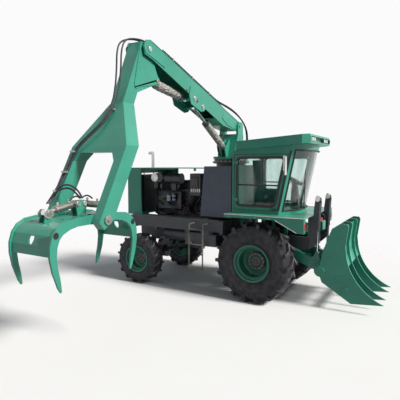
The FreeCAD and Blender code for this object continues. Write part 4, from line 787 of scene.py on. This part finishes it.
def make_engine():
    """The engine's outside: block ribs, covers, pulleys, filters, pipes and hoses."""
    bm = bmesh.new()
    for i in range(9):
        x = -2790 + i * 98
        add_block(bm, (x, -300, 1500), (x + 26, -288, 2150))
        add_block(bm, (x, 288, 1500), (x + 26, 300, 2150))
    for z in (1480, 1660, 2140):
        add_block(bm, (-2850, -304, z), (-1920, -290, z + 30))
        add_block(bm, (-2850, 290, z), (-1920, 304, z + 30))
    piece("block_ribs", bm, ENGINE, "chassis", bevel=0.004)
    bm = bmesh.new()
    for i in range(6):
        x = -2760 + i * 132
        add_block(bm, (x, -150, 2349), (x + 104, 150, 2384))
        for y in (-110, 110):
            add_bolt(bm, spot(x + 52, y, 2384), Vector((0, 0, 1)), 0.012, 0.014)
    piece("valve_covers", bm, ENGINE, "chassis", bevel=0.010)
    bm = bmesh.new()
    add_round(bm, spot(-2440, -520, 2440), spot(-2030, -520, 2440), 0.115, sides=36)
    add_round(bm, spot(-2030, -520, 2440), spot(-2000, -520, 2440), 0.122, sides=36)
    add_round(bm, spot(-2270, -520, 2440), spot(-2250, -520, 2440), 0.122, sides=36)
    add_block(bm, (-2300, -500, 2150), (-2180, -430, 2380))
    piece("intake_canister", bm, ENGINE, "chassis", bevel=0.006)
    bm = bmesh.new()
    add_round(bm, spot(-2690, -655, 2455), spot(-2690, -640, 2455), 0.096, sides=40)
    add_round(bm, spot(-2690, -662, 2455), spot(-2690, -655, 2455), 0.060, sides=40)
    piece("cleaner_lid", bm, ZINC, "chassis", bevel=0.004)
    bm = bmesh.new()
    add_round(bm, spot(-2690, -640, 2455), spot(-2690, -400, 2455), 0.100, sides=36)
    add_block(bm, (-2740, -600, 2200), (-2640, -470, 2380))
    piece("cleaner_pot", bm, ENGINE, "chassis", bevel=0.006)
    bm = bmesh.new()
    for x, low, high, radius in ((-2358, 1900, 2050, 50), (-2215, 1920, 2060, 46)):
        add_round(bm, spot(x, -540, low), spot(x, -540, high), radius / 1000, sides=30)
    piece("filters", bm, WHITE, "chassis", bevel=0.008)
    bm = bmesh.new()
    add_round(bm, spot(-2215, -540, 1955), spot(-2215, -540, 2010), 0.0475, sides=30)
    piece("filter_band", bm, BLUE, "chassis")
    bm = bmesh.new()
    for x in (-2358, -2215):
        add_block(bm, (x - 55, -600, 2050), (x + 55, -470, 2096))
    add_block(bm, (-2420, -480, 1780), (-2150, -440, 2100))
    piece("filter_heads", bm, ENGINE, "chassis", bevel=0.006)
    bm = bmesh.new()
    add_round(bm, spot(-2046, -500, 1770), spot(-2046, -500, 1845), 0.034)
    add_round(bm, spot(-1985, -470, 1740), spot(-1930, -470, 1740), 0.026)
    piece("red_caps", bm, RED_CAP, "chassis", bevel=0.004)
    # fan pulleys at the radiator end, and a flywheel housing towards the tank
    bm = bmesh.new()
    for x, y, z, radius, wide in ((-2890, -40, 1880, 230, 26), (-2880, -250, 2120, 95, 50),
                                  (-2880, -270, 1660, 120, 50), (-2880, 190, 2080, 100, 50)):
        add_round(bm, spot(x, y, z), spot(x + wide, y, z), radius / 1000, sides=40)
    add_round(bm, spot(-1930, 0, 1850), spot(-1850, 0, 1850), 0.285, sides=48)
    add_round(bm, spot(-1850, 0, 1850), spot(-1760, 0, 1820), 0.185, 0.12, 40)
    add_round(bm, spot(-1800, -180, 1740), spot(-1620, -180, 1740), 0.105, sides=32)
    add_round(bm, spot(-1800, 170, 1720), spot(-1640, 170, 1720), 0.095, sides=32)
    piece("wheels_and_pumps", bm, ENGINE, "chassis", bevel=0.005)
    # dark box on the tank's engine side with its pipes
    bm = bmesh.new()
    add_block(bm, (-1720, -640, 2060), (-1440, -330, 2560))
    add_block(bm, (-1700, -660, 2240), (-1500, -640, 2480))
    add_block(bm, (-1460, -560, 1700), (-1340, -380, 2100))
    piece("valve_chest", bm, ENGINE, "chassis", bevel=0.02)
    bm = bmesh.new()
    for i in range(5):
        add_block(bm, (-1680 + i * 52, -668, 2140), (-1650 + i * 52, -640, 2220))
    piece("valve_spools", bm, STEEL, "chassis", bevel=0.004)
    spread = random.Random(11)
    for i in range(22):
        x = spread.uniform(-2780, -1960)
        y = spread.uniform(-560, -330)
        z = spread.uniform(1590, 2060)
        reach = spread.uniform(180, 460)
        drop = spread.uniform(-320, 320)
        end_z = min(2320, max(1585, z + drop))
        tube("engine_pipe_%02d" % i,
             [spot(x, -300, z), spot(x + 20, y, z + 15), spot(x + reach * 0.5, y - 20, (z + end_z) / 2),
              spot(min(x + reach, -1900), y, end_z), spot(min(x + reach, -1900) + 10, -300, end_z)],
             spread.choice((0.009, 0.013, 0.018)), HOSE if i % 3 else ENGINE, "chassis")
    for i in range(9):
        x = spread.uniform(-1900, -1420)
        z = spread.uniform(1600, 1760)
        y = spread.uniform(-560, -200)
        tube("pump_hose_%02d" % i,
             [spot(x - 120, y + 80, z - 10), spot(x - 60, y, z + 120), spot(x + 20, y - 30, z + 200),
              spot(x + 90, y, z + 250 + i * 22), spot(min(x + 140, -1345), y + 60, z + 330 + i * 20)],
             spread.choice((0.012, 0.016)), HOSE, "chassis")
    for i, y in enumerate((-140, 160)):
        tube("radiator_hose_%d" % (i + 1),
             [spot(-2820, y, 2280), spot(-2870, y, 2420), spot(-2930, y, 2440), spot(-3030, y, 2440)],
             0.034, HOSE, "chassis")


def make_under_floor():
    bm = bmesh.new()
    add_block(bm, (-1900, -230, 900), (-1560, 230, 1180))
    add_block(bm, (-1990, -180, 760), (-1700, 140, 960))
    add_round(bm, spot(-2010, -40, 850), spot(-2720, -20, 640), 0.042)
    add_round(bm, spot(-1600, 40, 880), spot(-330, 0, 805), 0.045)
    add_round(bm, spot(-2700, -20, 645), spot(-2740, -20, 630), 0.085)
    add_round(bm, spot(-400, 0, 808), spot(-330, 0, 805), 0.085)
    add_round(bm, spot(-1560, 40, 878), spot(-1620, 40, 880), 0.10)
    piece("gearbox_and_shafts", bm, BLACK, "chassis", bevel=0.008)
    bm = bmesh.new()
    for y in (-640, 640):
        add_round(bm, spot(-2350, y, 1170), spot(-1700, y, 1170), 0.15, sides=36)
    add_block(bm, (-2300, -660, 1190), (-2240, -620, 1560))
    add_block(bm, (-1820, -660, 1190), (-1760, -620, 1560))
    piece("air_tanks", bm, BLACK, "chassis", bevel=0.006)


def make_steps():
    """The feet that fix the ladder."""
    bm = bmesh.new()
    for x in (-1400, -1070):
        add_block(bm, (x - 22, -1104, 1068), (x + 22, -1100.5, 1112))
        add_block(bm, (x - 22, -1004, 1478), (x + 22, -1000.5, 1522))
    piece("ladder_feet", bm, BLACK, "chassis", bevel=0.003)


def make_wings():
    bm = bmesh.new()
    for side in (-1, 1):
        y = side * 1135
        add_block(bm, (1030, y - 34, 1556), (1040, y + 34, 1668))
    piece("front_reflectors", bm, RED, "chassis", bevel=0.006)
    bm = bmesh.new()
    for side in (-1, 1):
        add_round(bm, spot(-585, side * 1200, 1768), spot(1030, side * 1200, 1768), 0.007, sides=8)
        add_round(bm, spot(905, side * 1201, 1490), spot(480, side * 1201, 1705), 0.007, sides=8)
    add_round(bm, spot(1030, -1200, 1768), spot(1030, 1200, 1768), 0.007, sides=8)
    piece("deck_lip", bm, ZINC, "chassis")
    bm = bmesh.new()
    for side in (-1, 1):
        for x in (-480, -200, 80, 360):
            add_bolt(bm, spot(x, side * 1200, 1728), Vector((0, side, 0)), 0.009, 0.006)
    piece("wing_bolts", bm, STEEL, "chassis")


def make_tower_trim():
    bm = bmesh.new()
    for side in (-1, 1):
        for face in (-1, 1):
            y = side * 440 + face * 82
            add_round(bm, spot(1105, y - face * 4, 2080), spot(1105, y + face * 8, 2080), 0.044)
        add_round(bm, spot(1102, side * 440, 2090), spot(1102, side * 440, 2150), 0.040, 0.034)
    piece("tower_caps", bm, ZINC, "chassis", bevel=0.004)
    for side in (-1, 1):
        for i, out in enumerate((0, 46)):
            tube("lift_hose_%s_%d" % ("right" if side < 0 else "left", i + 1),
                 [spot(985, side * (300 - out), 1690), spot(1030, side * (300 - out), 1730),
                  spot(1064, side * (318 - out * 0.5), 1650), spot(1068, side * (330 - out * 0.5), 1480),
                  spot(1064, side * (342 - out * 0.5), 1350), spot(1050, side * 372, 1290)],
                 0.012, HOSE, "chassis")
    bm = bmesh.new()
    add_block(bm, (985, -120, 1420), (1130, 120, 1610))
    piece("tower_valve", bm, GREEN, "chassis", bevel=0.012)
    bm = bmesh.new()
    for y in (-70, 0, 70):
        add_round(bm, spot(1060, y, 1610), spot(1060, y, 1660), 0.022)
    piece("tower_valve_caps", bm, RED, "chassis", bevel=0.004)


def make_rake_trim():
    bm = bmesh.new()
    for y in (-700, 700):
        way = math.copysign(1, y)
        for x, z in ((1560, 600), (1700, 410)):
            add_round(bm, spot(x, y + way * 10, z), spot(x, y + way * 14, z), 0.044)
        add_round(bm, spot(1225, y + way * 40, 712), spot(1225, y + way * 46, 712), 0.084, sides=36)
    piece("rake_plugs", bm, GREEN, "rake", bevel=0.003)
    bm = bmesh.new()
    for y in (-696, 696):
        add_round(bm, spot(1225, y, 712), spot(1225, y + math.copysign(8, y), 712), 0.112, sides=40)
    piece("rake_weld", bm, GREEN, "rake", bevel=0.003)


# Wheels

def make_hubs():
    hubs = [
        # name, side, x, y, z, hub radius, bolt circle, bolts
        ("front_right", -1, 0, 925, 800, 180, 150, 12), ("front_left", 1, 0, 925, 800, 180, 150, 12),
        ("rear_right", -1, -WHEELBASE, 993, 570, 125, 102, 10),
        ("rear_left", 1, -WHEELBASE, 993, 570, 125, 102, 10)]
    for name, side, x, y, z, radius, circle, count in hubs:
        front = name.startswith("front")
        disc = 95 if front else 60
        depth = 150 if front else 110
        face = y - disc + depth * 0.55 - 18
        way = Vector((0, side, 0))
        bm = bmesh.new()
        centre = spot(x, side * face, z)
        add_round(bm, centre - way * 0.050, centre + way * 0.002, radius / 1000 * 1.03, sides=48)
        add_round(bm, centre, centre + way * 0.022, radius / 1000 * 0.70, radius / 1000 * 0.60, 40)
        add_round(bm, centre + way * 0.02, centre + way * 0.030, radius / 1000 * 0.22, sides=24)
        piece("hub_cap_" + name, bm, BLACK, "wheel_" + name, bevel=0.004)
        bm = bmesh.new()
        for i in range(count):
            turn = 2 * math.pi * i / count
            place = centre + Vector((circle / 1000 * math.cos(turn), 0, circle / 1000 * math.sin(turn)))
            add_bolt(bm, place, way, 0.0125, 0.018)
        for i in range(5):
            turn = 2 * math.pi * i / 5 + 0.3
            place = centre + way * 0.021 + Vector((radius / 1000 * 0.42 * math.cos(turn), 0,
                                                   radius / 1000 * 0.42 * math.sin(turn)))
            add_bolt(bm, place, way, 0.008, 0.010)
        piece("hub_bolts_" + name, bm, COPPER, "wheel_" + name)


for make in (make_cab_trim, make_mirror, make_roof_trim, make_boom_trim, make_hoses, make_stick_trim,
             make_cylinder_trim, make_jaws, make_grapple_trim, make_column_trim, make_tank_trim, make_engine,
             make_under_floor, make_steps, make_wings, make_tower_trim, make_rake_trim, make_hubs):
    make()


# Camera, floor and light

def make_camera():
    data = bpy.data.cameras.new("camera")
    data.sensor_width = 36
    data.lens = 37.6
    data.shift_x = 0.035
    data.shift_y = 0.0
    camera = bpy.data.objects.new("camera", data)
    bpy.context.scene.collection.objects.link(camera)
    camera.location = spot(3091, -8813, 2761)
    camera.rotation_euler = (math.radians(90 - 4.84), 0, math.radians(31.0))
    data.clip_start = 0.1
    data.clip_end = 100
    bpy.context.scene.camera = camera


def make_floor():
    """A pale floor that fades out into the backdrop well away from the machine."""
    f = Finish("pale_floor", 0.9)
    pale = f.mix(f.spread(f.noise(0.6, 2), 0.2, 0.8), (0.93, 0.925, 0.925), (0.95, 0.945, 0.945))
    path = f.tree.nodes.new("ShaderNodeLightPath")
    seen = f.sum(f.sum(path.outputs["Is Camera Ray"], path.outputs["Is Transmission Ray"], "MAXIMUM"),
                 path.outputs["Is Glossy Ray"], "MAXIMUM")
    f.colour(f.mix(seen, (0.30, 0.30, 0.31), pale))
    length = f.tree.nodes.new("ShaderNodeVectorMath")
    length.operation = "LENGTH"
    f.link(f.place, length.inputs[0])
    clear = f.tree.nodes.new("ShaderNodeBsdfTransparent")
    mix = f.tree.nodes.new("ShaderNodeMixShader")
    f.link(f.spread(length.outputs["Value"], 4.5, 10.0), mix.inputs[0])
    f.link(f.shader.outputs[0], mix.inputs[1])
    f.link(clear.outputs[0], mix.inputs[2])
    f.link(mix.outputs[0], f.tree.nodes["Material Output"].inputs["Surface"])
    bm = bmesh.new()
    bmesh.ops.create_circle(bm, cap_ends=True, segments=64, radius=10.2)
    mesh = bpy.data.meshes.new("floor")
    bm.to_mesh(mesh)
    bm.free()
    mesh.materials.append(f.material)
    floor = bpy.data.objects.new("floor", mesh)
    floor.location.z = -0.001
    bpy.context.scene.collection.objects.link(floor)


def make_lamp(name, place, target, size, power, colour):
    data = bpy.data.lights.new(name, "AREA")
    data.size = size
    data.energy = power
    data.color = colour
    lamp = bpy.data.objects.new(name, data)
    lamp.location = place
    lamp.rotation_euler = (target - place).to_track_quat("-Z", "Y").to_euler()
    bpy.context.scene.collection.objects.link(lamp)


def make_sun(from_where, power, soft, colour):
    data = bpy.data.lights.new("daylight", "SUN")
    data.energy = power
    data.angle = math.radians(soft)
    data.color = colour
    sun = bpy.data.objects.new("daylight", data)
    sun.rotation_euler = (-Vector(from_where)).to_track_quat("-Z", "Y").to_euler()
    bpy.context.scene.collection.objects.link(sun)


def make_world():
    world = bpy.data.worlds.new("studio")
    bpy.context.scene.world = world
    world.use_nodes = True
    tree = world.node_tree
    tree.nodes.clear()
    out = tree.nodes.new("ShaderNodeOutputWorld")
    light = tree.nodes.new("ShaderNodeBackground")
    light.inputs["Color"].default_value = (0.86, 0.93, 1.0, 1)
    light.inputs["Strength"].default_value = 0.17
    shown = tree.nodes.new("ShaderNodeBackground")
    shown.inputs["Color"].default_value = (0.975, 0.965, 0.97, 1)
    shown.inputs["Strength"].default_value = 1.0
    path = tree.nodes.new("ShaderNodeLightPath")
    either = tree.nodes.new("ShaderNodeMath")
    either.operation = "MAXIMUM"
    tree.links.new(path.outputs["Is Camera Ray"], either.inputs[0])
    tree.links.new(path.outputs["Is Transmission Ray"], either.inputs[1])
    seen = tree.nodes.new("ShaderNodeMath")
    seen.operation = "MAXIMUM"
    tree.links.new(either.outputs[0], seen.inputs[0])
    tree.links.new(path.outputs["Is Glossy Ray"], seen.inputs[1])
    mix = tree.nodes.new("ShaderNodeMixShader")
    tree.links.new(seen.outputs[0], mix.inputs[0])
    tree.links.new(light.outputs[0], mix.inputs[1])
    tree.links.new(shown.outputs[0], mix.inputs[2])
    tree.links.new(mix.outputs[0], out.inputs["Surface"])


make_camera()
make_floor()
make_world()
make_sun((0.80, 0.02, 0.62), 4.3, 14, (1.0, 0.975, 0.94))
make_lamp("fill", Vector((-1.0, -11.0, 5.0)), Vector((0, 0, 1.8)), 8.0, 30, (0.85, 0.94, 1.0))
bpy.context.scene.view_settings.view_transform = "Standard"
